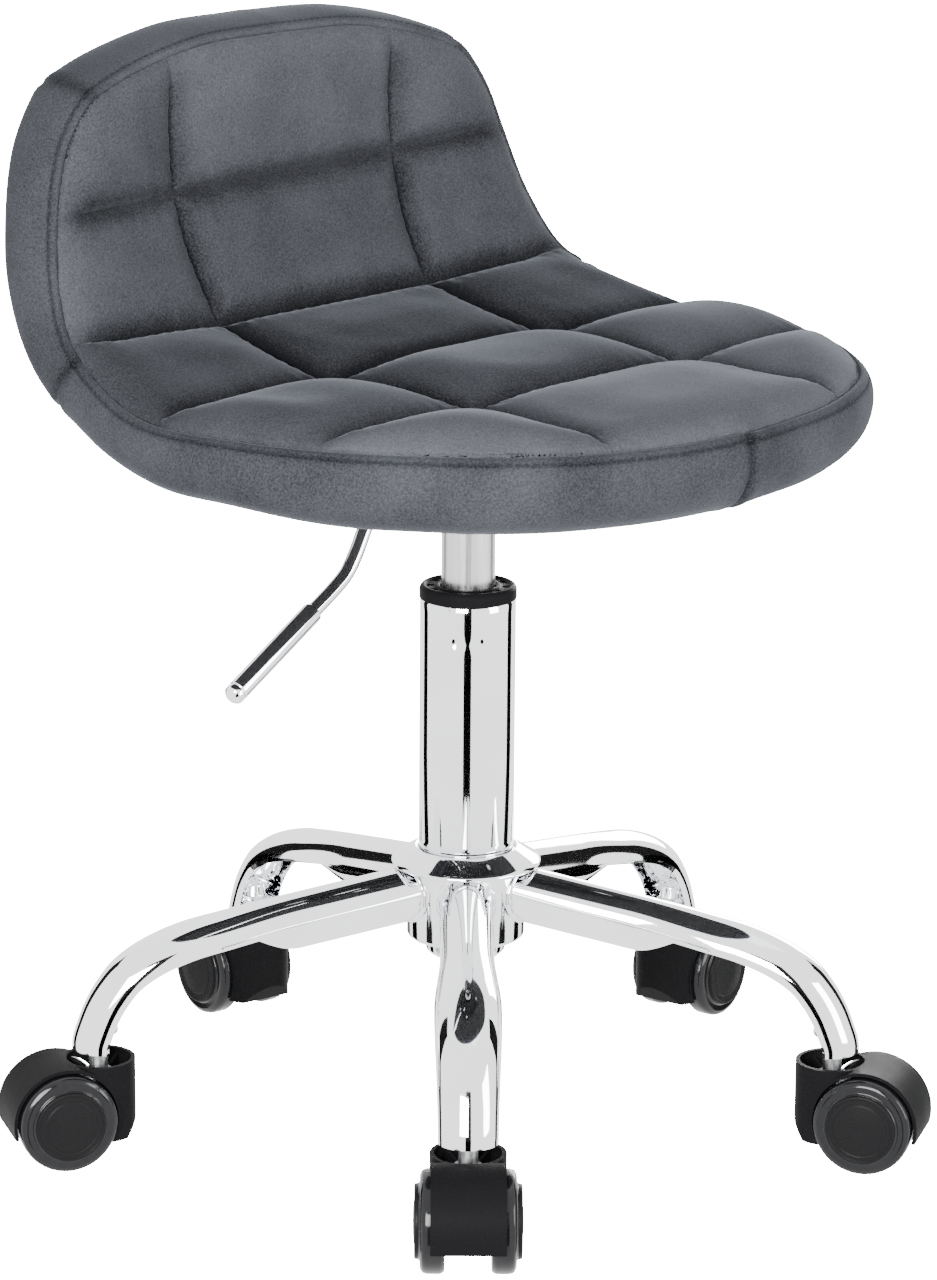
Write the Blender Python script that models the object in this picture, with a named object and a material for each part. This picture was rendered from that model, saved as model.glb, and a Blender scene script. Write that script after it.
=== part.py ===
"""Adjustable swivel stool: upholstered seat with a low back, gas lift, five-leg base on twin-wheel casters.

Metres, +Z up, floor at Z = 0. The column stands on the Z axis and the sitter faces -Y.
"""

import math

import bmesh
import bpy
from mathutils import Matrix, Vector

MM = 0.001
GAP = 0.3 * MM  # between pieces that touch

# Heights of the base frame, column, lift and seat are counted from a datum this far above the floor
DATUM = 3.2 * MM

# Base
LEG_COUNT = 5
LEG_STEP = math.radians(72.0)
LEG_TURN = math.radians(-48.97)  # first leg, measured from the seat's front
LEG_RADIUS = 14.0 * MM
LEG_SPREAD = 3.0 * MM  # how much wider the pressed channel gets on each side
LEG_WALL = 2.2 * MM
LEG_RIDGE = [(26, 139.0), (69, 132.6), (107, 126.8), (134, 122.2), (156, 117.8), (176, 110.4),
             (190.5, 101.2), (199.5, 91), (206, 80.5), (210.6, 69.5), (213.3, 61), (213.6, 55.7)]
PRESS_START = 96.0 * MM  # where the tube's lower wall starts to be pressed up
PRESS_END = 150.0 * MM
HUB_RADIUS = 31.0 * MM
HUB_BOTTOM = 98.0 * MM
HUB_TOP = 137.0 * MM

# Column
COLUMN_RADIUS = 25.0 * MM
COLUMN_TOP = 281.0 * MM
COLUMN_BOTTOM = 88.0 * MM
CYLINDER_RADIUS = 14.0 * MM
CYLINDER_BOTTOM = 130.0 * MM
CYLINDER_TOP = 340.0 * MM
ROD_RADIUS = 4.0 * MM
PISTON_TOP = 256.0 * MM

# Casters: swivel axis, axle behind it, twin wheels
STEM_REACH = 200.0 * MM
TRAIL = 21.0 * MM
WHEEL_RADIUS = 25.7 * MM
WHEEL_SIDES = 28
HOOD_RADIUS = 28.4 * MM
HOOD_INNER = 26.6 * MM
HOOD_HALF_WIDTH = 18.5 * MM
HOUSING_RADIUS = 19.0 * MM
HOUSING_TOP = 53.4 * MM
HOUSING_BOTTOM = 12.7 * MM
AXLE_RADIUS = 3.1 * MM

# Seat plate and lever
PLATE_TOP = 358.8 * MM
PLATE_SHEET = 3.0 * MM
BOLT_X = 68.0 * MM
BOLT_Y = 38.0 * MM
LEVER_HEIGHT = 351.3 * MM
LEVER_RADIUS = 4.0 * MM
LEVER_ROUTE = [(8, 351.3), (-20, 351.3), (-52, 351.3), (-64, 349.6), (-73.5, 342.5), (-80.5, 331.5),
               (-87.5, 319.5), (-94.5, 310.5), (-104, 303.9), (-119.4, 295.4), (-171, 266.9)]
SLEEVE_START = Vector((-119.4 * MM, 0.0, 295.4 * MM))
SLEEVE_END = Vector((-179.5 * MM, 0.0, 262.4 * MM))

# Seat: one side profile (Y, Z) and one half outline (distance down the profile, half width)
SEAT_PROFILE = [(131.5, 563), (131, 525), (127.5, 490), (118, 455), (97, 426), (60, 410.5),
                (18, 405.2), (-35, 403.6), (-95, 401.8), (-150, 399), (-182, 395.5)]
SEAT_OUTLINE = [(0, 0), (2.5, 66), (20, 137), (40, 158), (66, 169.5), (110, 182), (145, 191.5), (180, 202),
                (215, 210), (245, 213), (303, 204.5), (350, 180), (395, 133), (419, 71), (427.5, 0)]
EDGE_THICKNESS = [(0, 0.96), (90, 0.94), (165, 0.72), (250, 0.8), (340, 0.92), (427.5, 0.98)]
EDGE_RAISE = [(0, 3.5), (100, 6), (150, 4), (230, -2.5), (330, -1), (427.5, 0)]
# Section of the side band (out from the outline, depth), on the back and on the seat
BAND_ON_BACK = [(-2.6, 0), (2, 1.5), (6.3, 9), (7.6, 21), (5.8, 34), (-0.5, 41.8), (-7.5, 44), (-7.5, 41.5),
                (-2.6, 38.5)]
BAND_ON_SEAT = [(-2.6, 0), (3, 1.3), (7.8, 8), (8.6, 16), (7, 27), (0, 38), (-14, 44)]
BAND_ON_SEAT += [(-14, 41.5), (-2.6, 38.5)]
BAND_STEPS = 24
BAND_TOP_RISE = 4.0 * MM  # how much higher the band is at the back of its top edge
SEAT_ROWS = [10, 22, 38, 60, 82, 100, 116, 130, 144, 158, 172, 188, 206, 228, 256, 290]
SEAT_ROWS += [324, 354, 378, 398, 412]
SEAT_COLUMNS = 8
TOP_CORNER = 20.0 * MM  # down the profile, where the top edge turns into the sides
FRONT_CORNER = 395.0 * MM
END_MARGIN = 1.6 * MM  # how far inside the outline a layer ends, past its inset
FACE_CROWN = 6.0 * MM
FACE_DEPTH = 13.0 * MM
LAYER_GAP = 0.9 * MM
FOAM_DEPTH = 27.0 * MM
SHELL_DEPTH = 35.0 * MM
COVER_DEPTH = 43.0 * MM
COVER_SPLIT = 172.0 * MM  # down the profile, where back cover meets bottom cover

COLOURS = {
    "chrome": ((0.86, 0.87, 0.89), 0.08, 1.0),
    "satin steel": ((0.62, 0.62, 0.63), 0.28, 1.0),
    "zinc steel": ((0.55, 0.56, 0.57), 0.38, 1.0),
    "black plastic": ((0.018, 0.018, 0.02), 0.45, 0.0),
    "black gloss plastic": ((0.012, 0.012, 0.014), 0.22, 0.0),
    "velvet": ((0.085, 0.1, 0.12), 0.9, 0.0),
    "foam": ((0.75, 0.68, 0.45), 0.95, 0.0),
    "plywood": ((0.62, 0.45, 0.27), 0.65, 0.0),
    "lining": ((0.02, 0.02, 0.02), 0.95, 0.0),
    "rubber": ((0.03, 0.03, 0.03), 0.8, 0.0),
    "brass": ((0.72, 0.52, 0.22), 0.35, 1.0),
}


def clear_scene():
    for item in list(bpy.data.objects):
        bpy.data.objects.remove(item, do_unlink=True)


def finish_of(name, look):
    colour, roughness, metallic = COLOURS[look]
    material = bpy.data.materials.new(name + " " + look)
    material.use_nodes = True
    shader = material.node_tree.nodes["Principled BSDF"]
    shader.inputs["Base Color"].default_value = (*colour, 1.0)
    shader.inputs["Roughness"].default_value = roughness
    shader.inputs["Metallic"].default_value = metallic
    material.diffuse_color = (*colour, 1.0)
    return material


def add_node(name, mesh, look, parent=None, place=Matrix.Translation((0, 0, DATUM))):
    """A visible object with its own finish, set under its joint's empty where it moves."""
    mesh = mesh.copy()
    mesh.name = name
    mesh.materials.clear()
    mesh.materials.append(finish_of(name, look))
    mesh.shade_smooth()
    mesh.set_sharp_from_angle(angle=math.radians(35))
    node = bpy.data.objects.new(name, mesh)
    bpy.context.collection.objects.link(node)
    node.parent = parent
    node.matrix_parent_inverse = Matrix() if parent is None else parent.matrix_world.inverted()
    node.matrix_world = place
    return node


def add_pivot(name, position, parent=None, turn=0.0):
    """An empty on a joint's axis."""
    pivot = bpy.data.objects.new(name, None)
    pivot.empty_display_size = 0.03
    bpy.context.collection.objects.link(pivot)
    pivot.parent = parent
    if parent is not None:
        pivot.matrix_parent_inverse = parent.matrix_world.inverted()
    pivot.matrix_world = Matrix.Translation(position) @ Matrix.Rotation(turn, 4, "Z")
    bpy.context.view_layer.update()
    return pivot


def mesh_from(bm):
    bmesh.ops.remove_doubles(bm, verts=bm.verts, dist=0.002 * MM)
    bmesh.ops.recalc_face_normals(bm, faces=bm.faces)
    mesh = bpy.data.meshes.new("piece")
    bm.to_mesh(mesh)
    bm.free()
    return mesh


def turned(profile, sides, axis="Z", start=0.0):
    """A solid of revolution. The profile is (radius, height) in millimetres: it starts and ends on the
    axis, or it is a closed ring where no point has radius 0."""
    bm = bmesh.new()
    first = Vector((math.cos(start), math.sin(start), 0.0))
    corners = [bm.verts.new(first * r * MM + Vector((0, 0, h * MM))) for r, h in profile]
    edges = [bm.edges.new(pair) for pair in zip(corners, corners[1:])]
    if min(r for r, _ in profile) > 0:
        edges.append(bm.edges.new((corners[-1], corners[0])))
    bmesh.ops.spin(bm, geom=corners + edges, cent=(0, 0, 0), axis=(0, 0, 1), dvec=(0, 0, 0),
                   angle=math.tau, steps=sides, use_merge=True)
    if axis == "Y":
        bmesh.ops.rotate(bm, verts=bm.verts, cent=(0, 0, 0), matrix=Matrix.Rotation(-math.pi / 2, 3, "X"))
    return mesh_from(bm)


def extruded(outline, low, high):
    """An XZ outline in metres, extruded along Y from low to high."""
    bm = bmesh.new()
    face = bm.faces.new([bm.verts.new((x, low, z)) for x, z in outline])
    grown = bmesh.ops.extrude_face_region(bm, geom=[face])
    moved = [v for v in grown["geom"] if isinstance(v, bmesh.types.BMVert)]
    bmesh.ops.translate(bm, verts=moved, vec=(0, high - low, 0))
    return mesh_from(bm)


def lofted(rings):
    """A closed solid through rings of equal, even length, with strips of quads over its two ends."""
    bm = bmesh.new()
    rows = [[bm.verts.new(point) for point in ring] for ring in rings]
    for row, after in zip(rows, rows[1:]):
        for k in range(len(row)):
            bm.faces.new([row[k - 1], row[k], after[k], after[k - 1]])
    for row in (rows[0], rows[-1]):
        for k in range(len(row) // 2 - 1):
            bm.faces.new([row[k], row[k + 1], row[-k - 2], row[-k - 1]])
    return mesh_from(bm)


def looped(rings):
    """As lofted, but the last ring joins the first, so there are no ends."""
    bm = bmesh.new()
    rows = [[bm.verts.new(point) for point in ring] for ring in rings]
    for row, after in zip(rows, rows[1:] + rows[:1]):
        for i in range(len(row)):
            j = (i + 1) % len(row)
            bm.faces.new((row[i], row[j], after[j], after[i]))
    return mesh_from(bm)


def cylinder(radius, low, high, sides, axis="Z"):
    profile = [(0, low / MM), (radius / MM, low / MM), (radius / MM, high / MM), (0, high / MM)]
    return turned(profile, sides, axis)


def combined(mesh, steps):
    """The mesh after Boolean steps, each an operation and a mesh."""
    helpers = [bpy.data.objects.new("cut body", mesh)]
    bpy.context.collection.objects.link(helpers[0])
    for operation, tool in steps:
        cutter = bpy.data.objects.new("cutter", tool)
        bpy.context.collection.objects.link(cutter)
        cutter.hide_render = True
        cutter.display_type = "WIRE"
        helpers.append(cutter)
        modifier = helpers[0].modifiers.new(operation.lower(), "BOOLEAN")
        modifier.operation = operation
        modifier.solver = "EXACT"
        modifier.object = cutter
    graph = bpy.context.evaluated_depsgraph_get()
    result = bpy.data.meshes.new_from_object(helpers[0].evaluated_get(graph))
    for helper in helpers:
        bpy.data.objects.remove(helper, do_unlink=True)
    return result


def moved(mesh, matrix):
    mesh = mesh.copy()
    mesh.transform(matrix)
    return mesh


def spline(points, at):
    """A smooth curve through 2-D points. Parameter at runs by chord length, from 0 to its length."""
    knots = [0.0]
    for before, after in zip(points, points[1:]):
        knots.append(knots[-1] + math.dist(before, after))
    at = min(max(at, 0.0), knots[-1])
    i = max(k for k in range(len(points) - 1) if knots[k] <= at)
    span = knots[i + 1] - knots[i]
    u = (at - knots[i]) / span

    def slope(k):
        low, high = max(k - 1, 0), min(k + 1, len(points) - 1)
        return [(points[high][c] - points[low][c]) / (knots[high] - knots[low]) for c in (0, 1)]

    here, there = slope(i), slope(i + 1)
    weights = (2 * u**3 - 3 * u**2 + 1, u**3 - 2 * u**2 + u, -2 * u**3 + 3 * u**2, u**3 - u**2)
    return tuple(
        weights[0] * points[i][c] + weights[1] * span * here[c]
        + weights[2] * points[i + 1][c] + weights[3] * span * there[c]
        for c in (0, 1)
    )


def chord_length(points):
    return sum(math.dist(before, after) for before, after in zip(points, points[1:]))


def smooth_step(low, high, value):
    u = min(max((value - low) / (high - low), 0.0), 1.0)
    return u * u * (3 - 2 * u)


# Base ---------------------------------------------------------------------------------------------


def leg_section(press, width):
    """Half-round top, and a lower wall that goes from round to pressed up against it."""
    points = []
    top_steps, under_steps = 8, 6
    for k in range(top_steps + 1):
        turn = math.pi * k / top_steps
        points.append((width * math.cos(turn), LEG_RADIUS * math.sin(turn)))
    rim = -2.0 * MM
    pressed_height = LEG_RADIUS - LEG_WALL - rim
    for k in range(under_steps + 1):
        turn = math.pi - math.pi * k / under_steps
        across = math.cos(turn)
        lift = math.sin(turn)
        round_wall = (width * 0.96 * across, -LEG_RADIUS * lift - 1.5 * MM)
        pressed_wall = ((width - LEG_WALL) * across, rim + pressed_height * lift**0.5)
        points.append(tuple((1 - press) * a + press * b for a, b in zip(round_wall, pressed_wall)))
    return points


def leg_mesh():
    """One leg along +X: a round tube at the hub that turns into a downward-open channel."""
    ridge = [(x * MM, z * MM) for x, z in LEG_RIDGE]
    length = chord_length(ridge)
    stations = 14
    rings = []
    for k in range(stations + 1):
        at = length * k / stations
        x, z = spline(ridge, at)
        ahead, behind = spline(ridge, at + MM), spline(ridge, at - MM)
        along = Vector((ahead[0] - behind[0], 0, ahead[1] - behind[1])).normalized()
        outward = Vector((-along.z, 0, along.x))
        press = smooth_step(PRESS_START, PRESS_END, x)
        fade = smooth_step(0.6 * length, length, at)
        width = LEG_RADIUS + LEG_SPREAD * press - 2.0 * MM * fade
        middle = Vector((x, 0, z)) - outward * LEG_RADIUS
        rings.append([middle + outward * n + Vector((0, t, 0)) for t, n in leg_section(press, width)])
    hub_cut = cylinder(HUB_RADIUS + GAP, 60 * MM, 170 * MM, 48)
    return combined(lofted(rings), [("DIFFERENCE", hub_cut)])


def stem_socket_mesh():
    """A welded boss in the end of the leg's channel, bored from below for the caster's stem."""
    profile = [(0, 78.4), (2.6, 77.8), (5.4, 74.8), (7, 68.5), (10.4, 66.8)]
    profile += [(10.4, 64), (5.2, 64), (5.2, 71.4), (0, 73)]
    bm = bmesh.new()
    bm.from_mesh(turned(profile, 16))
    for vertex in bm.verts:
        if vertex.co.z < 67 * MM:  # the flange is trimmed to the channel's back wall
            vertex.co.x = min(vertex.co.x, 6.0 * MM)
    return mesh_from(bm)


def hub_meshes():
    outer, low, high = HUB_RADIUS / MM, HUB_BOTTOM / MM, HUB_TOP / MM
    casting = turned([(22.9, low), (outer - 1.5, low), (outer, low + 1.5), (outer, high), (23.4, high)], 32)
    cone = turned([(25.5, 146.6), (26.8, 147.4), (31, 144.6), (38.4, 140.6), (39.2, 139.4), (39, 138.2),
                   (37.4, 138.2), (31, 142.6), (25.5, 144.6)], 32)
    return casting, cone


def column_meshes():
    outer, low, high = COLUMN_RADIUS / MM, COLUMN_BOTTOM / MM, COLUMN_TOP / MM
    inner = outer - 1.7
    tube = turned([(6, low), (19, low), (21, low + 2), (22.5, 137), (22.9, 143), (outer, 146), (outer, high),
                   (inner, high), (inner, 147), (20.6, 136), (19.2, low + 4), (6, low + 4)], 32)
    bush = turned([(14.2, 205), (inner - 0.4, 205), (inner - 0.4, high + 0.3), (outer + 0.3, high + 0.3),
                   (outer + 0.3, high + 6), (24.2, high + 7.4), (19, high + 7.4), (17.5, high + 5.6),
                   (14.2, high + 5.6)], 28)
    bearing = turned([(4.4, low + 4.3), (12, low + 4.3), (12, low + 11), (4.4, low + 11)], 24)
    return tube, bush, bearing


# Gas lift -----------------------------------------------------------------------------------------


def lift_meshes():
    bore, outer = CYLINDER_RADIUS / MM - 1.8, CYLINDER_RADIUS / MM
    low, high, piston, slim = CYLINDER_BOTTOM / MM, CYLINDER_TOP / MM, PISTON_TOP / MM, ROD_RADIUS / MM
    rod = turned([(0, 83), (2.6, 83), (2.6, 85), (slim, 85.6), (slim, piston - 8), (bore - 0.4, piston - 8),
                  (bore - 0.4, piston), (0, piston)], 24)
    clip = turned([(slim + 0.3, 85.7), (8, 85.7), (8, 87.6), (slim + 0.3, 87.6)], 20)
    bumper = turned([(slim + 0.4, 99.4), (12, 99.4), (12, 112), (9, 116), (slim + 0.4, 116)], 20)
    cylinder_wall = turned([(bore, low), (outer, low), (outer, high - 9), (outer - 0.7, high), (3.3, high),
                            (3.3, high - 4), (bore, high - 6)], 28)
    inner, outer = slim + 0.1, bore - 0.3
    seal = turned([(inner, low + 1), (outer, low + 1), (outer, low + 9), (inner, low + 9)], 24)
    button = turned([(0, high - 5.4), (3, high - 5.4), (3, high + 6), (2.2, high + 7), (0, high + 7)], 16)
    return rod, clip, bumper, cylinder_wall, seal, button


# Casters ------------------------------------------------------------------------------------------


def arc(centre_x, centre_z, radius, start, stop, steps):
    """Points of an arc in degrees, counted from +X towards +Z."""
    turns = [math.radians(start + (stop - start) * k / steps) for k in range(steps + 1)]
    return [(centre_x + radius * math.cos(t), centre_z + radius * math.sin(t)) for t in turns]


def hood_mesh():
    """The caster's body: cup for the stem, web between the wheels, and a guard over them."""
    axle = (TRAIL, WHEEL_RADIUS)
    at_axle = Matrix.Translation((TRAIL, 0, WHEEL_RADIUS))
    guard = arc(*axle, HOOD_RADIUS, -15, 195, 14) + arc(*axle, HOOD_INNER, 195, -15, 14)
    web = arc(*axle, 14 * MM, 180, 360, 8) + [(TRAIL + 14 * MM, 48 * MM), (-9 * MM, 46 * MM)]
    toe = [(-30 * MM, 0), (-30 * MM, 35 * MM), (-19 * MM, 22 * MM), (-9 * MM, 10 * MM), (-9 * MM, 0)]
    steps = [("DIFFERENCE", extruded(toe, -25 * MM, 25 * MM))]
    for side in (-1, 1):
        room = cylinder(HOOD_INNER, side * 11.1 * MM, side * 24 * MM, 24, "Y")
        steps.append(("DIFFERENCE", moved(room, at_axle)))
    steps += [
        ("UNION", extruded(web, -10.8 * MM, 10.8 * MM)),
        ("UNION", extruded(guard, -HOOD_HALF_WIDTH, HOOD_HALF_WIDTH)),
        ("DIFFERENCE", cylinder(16.8 * MM, 46 * MM, 60 * MM, 22)),
        ("DIFFERENCE", cylinder(5.2 * MM, 34 * MM, 60 * MM, 14)),
        ("DIFFERENCE", moved(cylinder(AXLE_RADIUS + 0.1 * MM, -15 * MM, 15 * MM, 14, "Y"), at_axle)),
    ]
    body = cylinder(HOUSING_RADIUS, HOUSING_BOTTOM, HOUSING_TOP, 26)
    return combined(body, steps)


def wheel_mesh(side):
    """One wheel about its axle, with a blind bore, a rounded tread and a domed cap."""
    rim = WHEEL_RADIUS / MM / math.cos(math.pi / WHEEL_SIDES)
    profile = [(0, 27.1), (17, 25.4), (18.2, 23.7), (22.5, 23.7), (rim, 20.4), (rim, 13.4), (23.6, 11.4),
               (3.25, 11.4), (3.25, 24), (0, 24)]
    mesh = turned([(r, side * h) for r, h in profile], WHEEL_SIDES, "Y", math.pi / WHEEL_SIDES)
    return mesh


def add_casters():
    hood = hood_mesh()
    stem = turned([(0, 34.4), (4.9, 34.4), (4.9, 72.6), (3.6, 74.2), (0, 74.2)], 14)
    axle = cylinder(AXLE_RADIUS, -23.6 * MM, 23.6 * MM, 14, "Y")
    wheels = {"inner": wheel_mesh(-1), "outer": wheel_mesh(1)}
    for k in range(LEG_COUNT):
        turn = LEG_TURN + LEG_STEP * k
        place = Matrix.Rotation(turn - math.pi / 2, 4, "Z") @ Matrix.Translation((STEM_REACH, 0, 0))
        at_axle = place @ Matrix.Translation((TRAIL, 0, WHEEL_RADIUS))
        swivel = add_pivot(f"caster_swivel_{k + 1}", place.translation)
        roll = add_pivot(f"caster_axle_centre_{k + 1}", at_axle.translation, swivel, turn - math.pi / 2)
        add_node(f"caster_hood_{k + 1}", hood, "black plastic", swivel, place)
        add_node(f"caster_stem_{k + 1}", stem, "zinc steel", swivel, place)
        add_node(f"caster_axle_{k + 1}", axle, "zinc steel", swivel, at_axle)
        for name, wheel in wheels.items():
            add_node(f"caster_wheel_{name}_{k + 1}", wheel, "black gloss plastic", roll, at_axle)


# Seat plate and lever -----------------------------------------------------------------------------


def rounded_ring(half_x, half_y, squareness, height, steps=28):
    """A ring between an ellipse (squareness 1) and a rectangle (towards 0)."""
    points = []
    for k in range(steps):
        turn = math.tau * (k + 0.5) / steps
        across, along = math.cos(turn), math.sin(turn)
        points.append(Vector((half_x * math.copysign(abs(across) ** squareness, across),
                              half_y * math.copysign(abs(along) ** squareness, along), height)))
    return points


def plate_mesh():
    """A pressed steel tray: flat flange under the seat, sloped walls, and a hole for the socket."""
    sheet = PLATE_SHEET
    rings = [
        rounded_ring(18.4 * MM, 18.4 * MM, 1.0, 333 * MM),
        rounded_ring(36 * MM, 33 * MM, 0.55, 333 * MM),
        rounded_ring(58 * MM, 46 * MM, 0.5, PLATE_TOP - sheet),
        rounded_ring(80 * MM, 66 * MM, 0.35, PLATE_TOP - sheet),
        rounded_ring(80 * MM, 66 * MM, 0.35, PLATE_TOP),
        rounded_ring(56.5 * MM, 44.5 * MM, 0.5, PLATE_TOP),
        rounded_ring(34 * MM, 31 * MM, 0.55, 333 * MM + sheet),
        rounded_ring(18.4 * MM, 18.4 * MM, 1.0, 333 * MM + sheet),
    ]
    lever_hole = moved(cylinder(6.2 * MM, -80 * MM, -30 * MM, 20),
                       Matrix.Translation((0, 0, LEVER_HEIGHT)) @ Matrix.Rotation(math.pi / 2, 4, "Y"))
    steps = [("DIFFERENCE", lever_hole)]
    hole = (3.5 * MM, 350 * MM, 365 * MM, 14)
    steps += [("DIFFERENCE", moved(cylinder(*hole), place)) for place in bolt_places()]
    return combined(looped(rings), steps)


def bolt_places():
    return [Matrix.Translation((x, y, 0)) for x in (-BOLT_X, BOLT_X) for y in (-BOLT_Y, BOLT_Y)]


def rod_along(route, radius, sides=10, stations=22):
    """A round bar in the XZ plane along a smooth route given in millimetres."""
    route = [(x * MM, z * MM) for x, z in route]
    length = chord_length(route)
    rings = []
    for k in range(stations + 1):
        at = length * k / stations
        x, z = spline(route, at)
        ahead, behind = spline(route, at + MM), spline(route, at - MM)
        along = Vector((ahead[0] - behind[0], 0, ahead[1] - behind[1])).normalized()
        up = Vector((-along.z, 0, along.x))
        turns = [math.tau * (j + 0.5) / sides for j in range(sides)]
        rings.append([Vector((x, radius * math.sin(t), z)) + up * radius * math.cos(t) for t in turns])
    return lofted(rings)


def sleeve_mesh():
    """A tube over the lever's end, closed and rounded at its tip."""
    along = SLEEVE_END - SLEEVE_START
    length = along.length / MM
    profile = [(0, length), (3.8, length - 0.6), (5.5, length - 3), (5.5, 0.6), (5.1, 0), (4.5, 0),
               (4.5, length - 4), (0, length - 4)]
    bm = bmesh.new()
    bm.from_mesh(turned(profile, 16))
    tilt = Vector((0, 0, 1)).rotation_difference(along.normalized())
    bmesh.ops.rotate(bm, verts=bm.verts, cent=(0, 0, 0), matrix=tilt.to_matrix())
    bmesh.ops.translate(bm, verts=bm.verts, vec=SLEEVE_START)
    return mesh_from(bm)


# Seat ---------------------------------------------------------------------------------------------


def eased(table, at):
    """A value from (place, value) pairs in millimetres, eased between neighbours."""
    places = [place for place, _ in table]
    at = min(max(at / MM, places[0]), places[-1])
    i = max(k for k in range(len(table) - 1) if places[k] <= at)
    (low, first), (high, second) = table[i], table[i + 1]
    return first + (second - first) * smooth_step(low, high, at)


def seat_point(down, across, depth):
    """A point at a distance down the side profile, across it, and below the sitter's side of it."""
    profile = [(y * MM, z * MM) for y, z in SEAT_PROFILE]
    length = chord_length(profile)
    inside = min(max(down, 0.0), length)
    y, z = spline(profile, inside)
    ahead, behind = spline(profile, inside + 2 * MM), spline(profile, inside - 2 * MM)
    along = Vector((0, ahead[0] - behind[0], ahead[1] - behind[1])).normalized()
    away = Vector((0, -along.z, along.y))  # to the back of the rest and the underside of the seat
    # The rim is thinner than the middle, and cupped towards the sitter or drooping
    rim = min(abs(across) / half_width(min(max(down, TOP_CORNER), FRONT_CORNER), 0.0), 1.0) ** 2
    depth = depth * (1 + (eased(EDGE_THICKNESS, down) - 1) * rim) - eased(EDGE_RAISE, down) * MM * rim
    return Vector((across, y, z)) + along * (down - inside) + away * depth


def outline_at(share):
    """Half outline point and its outward normal; share runs 0 to 1 from the top to the front."""
    outline = [(d * MM, w * MM) for d, w in SEAT_OUTLINE]
    length = chord_length(outline)
    down, across = spline(outline, share * length)
    ahead, behind = spline(outline, share * length + MM), spline(outline, share * length - MM)
    step = Vector((ahead[0] - behind[0], ahead[1] - behind[1])).normalized()
    return Vector((down, across)), Vector((-step.y, step.x))


def half_width(down, inset):
    """Half the seat's width at a distance down the profile, inside the outline by inset."""
    low, high = 0.0, 1.0
    for _ in range(30):
        middle = (low + high) / 2
        edge, normal = outline_at(middle)
        inner = edge - normal * inset
        if inner.x < down:
            low = middle
        else:
            high = middle
    return inner.y


def seat_layer(top, bottom, inset, crown=0.0, start=0.0, stop=1.0):
    """A padded layer that follows the profile, between two depths, inside the outline by inset.

    Every layer has its rows at the same places down the profile, so stacked layers stay parallel."""
    length = SEAT_OUTLINE[-1][0] * MM
    first = max(start, inset + END_MARGIN)
    last = min(stop, length - inset - END_MARGIN)
    between = [row * MM for row in SEAT_ROWS if first < (row - 2) * MM and (row + 2) * MM < last]
    rows = [first] + between + [last]
    fractions = [-1 + 2 * j / SEAT_COLUMNS for j in range(SEAT_COLUMNS + 1)]
    rings = []
    for down in rows:
        width = half_width(down, inset)
        rise = crown * min(1.0, 6 * min(down - first, last - down) / length)
        upper = [seat_point(down, width * f, top - rise * (1 - f * f)) for f in fractions]
        lower = [seat_point(down, width * f, bottom) for f in reversed(fractions)]
        rings.append(upper + lower)
    return lofted(rings)


def boxing_mesh():
    """The side band all round the seat: bulged outside, curling in under the back."""
    right = [outline_at((k + 0.25) / (BAND_STEPS - 0.5)) for k in range(BAND_STEPS)]
    left = [(Vector((edge.x, -edge.y)), Vector((normal.x, -normal.y))) for edge, normal in reversed(right)]
    rings = []
    for edge, normal in right + left:
        on_seat = smooth_step(140 * MM, 230 * MM, edge.x)
        rise = BAND_TOP_RISE * max(0.0, -normal.x) ** 2
        ring = []
        for (out_back, depth_back), (out_seat, depth_seat) in zip(BAND_ON_BACK, BAND_ON_SEAT):
            out = out_back + (out_seat - out_back) * on_seat
            depth = (depth_back + (depth_seat - depth_back) * on_seat) * MM
            at = edge + normal * out * MM
            ring.append(seat_point(at.x - rise * depth / COVER_DEPTH, at.y, depth))
        rings.append(ring)
    return looped(rings)


def add_seat(parent):
    blind_holes = [("DIFFERENCE", moved(cylinder(3.5 * MM, 340 * MM, 374.5 * MM, 14), place))
                   for place in bolt_places()]
    face = seat_layer(0.0, FACE_DEPTH, 4.2 * MM, FACE_CROWN)
    foam = seat_layer(FACE_DEPTH + LAYER_GAP, FOAM_DEPTH, 4.2 * MM)
    shell = seat_layer(FOAM_DEPTH + LAYER_GAP, SHELL_DEPTH, 4.5 * MM)
    back = seat_layer(SHELL_DEPTH + LAYER_GAP, COVER_DEPTH, 11 * MM, stop=COVER_SPLIT - GAP)
    bottom = seat_layer(SHELL_DEPTH + LAYER_GAP, COVER_DEPTH, 17 * MM, start=COVER_SPLIT)
    add_node("face_pad", face, "velvet", parent)
    add_node("foam_core", foam, "foam", parent)
    add_node("seat_shell", combined(shell, blind_holes), "plywood", parent)
    add_node("back_cover", back, "velvet", parent)
    add_node("bottom_cover", combined(bottom, blind_holes), "lining", parent)
    add_node("boxing_band", boxing_mesh(), "velvet", parent)


# Assembly -----------------------------------------------------------------------------------------


def add_base():
    casting, cone = hub_meshes()
    tube, bush, bearing = column_meshes()
    add_node("hub_casting", casting, "chrome")
    add_node("hub_cone_cover", cone, "chrome")
    add_node("column_outer_tube", tube, "chrome")
    add_node("column_guide_bush", bush, "black plastic")
    add_node("thrust_bearing", bearing, "zinc steel")
    leg, socket = leg_mesh(), stem_socket_mesh()
    for k in range(LEG_COUNT):
        lift = Matrix.Translation((0, 0, DATUM))
        turn = lift @ Matrix.Rotation(LEG_TURN + LEG_STEP * k - math.pi / 2, 4, "Z")
        reach = Matrix.Translation((STEM_REACH, 0, 0))
        add_node(f"leg_{k + 1}", leg, "chrome", place=turn)
        add_node(f"stem_socket_{k + 1}", socket, "chrome", place=turn @ reach)


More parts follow.
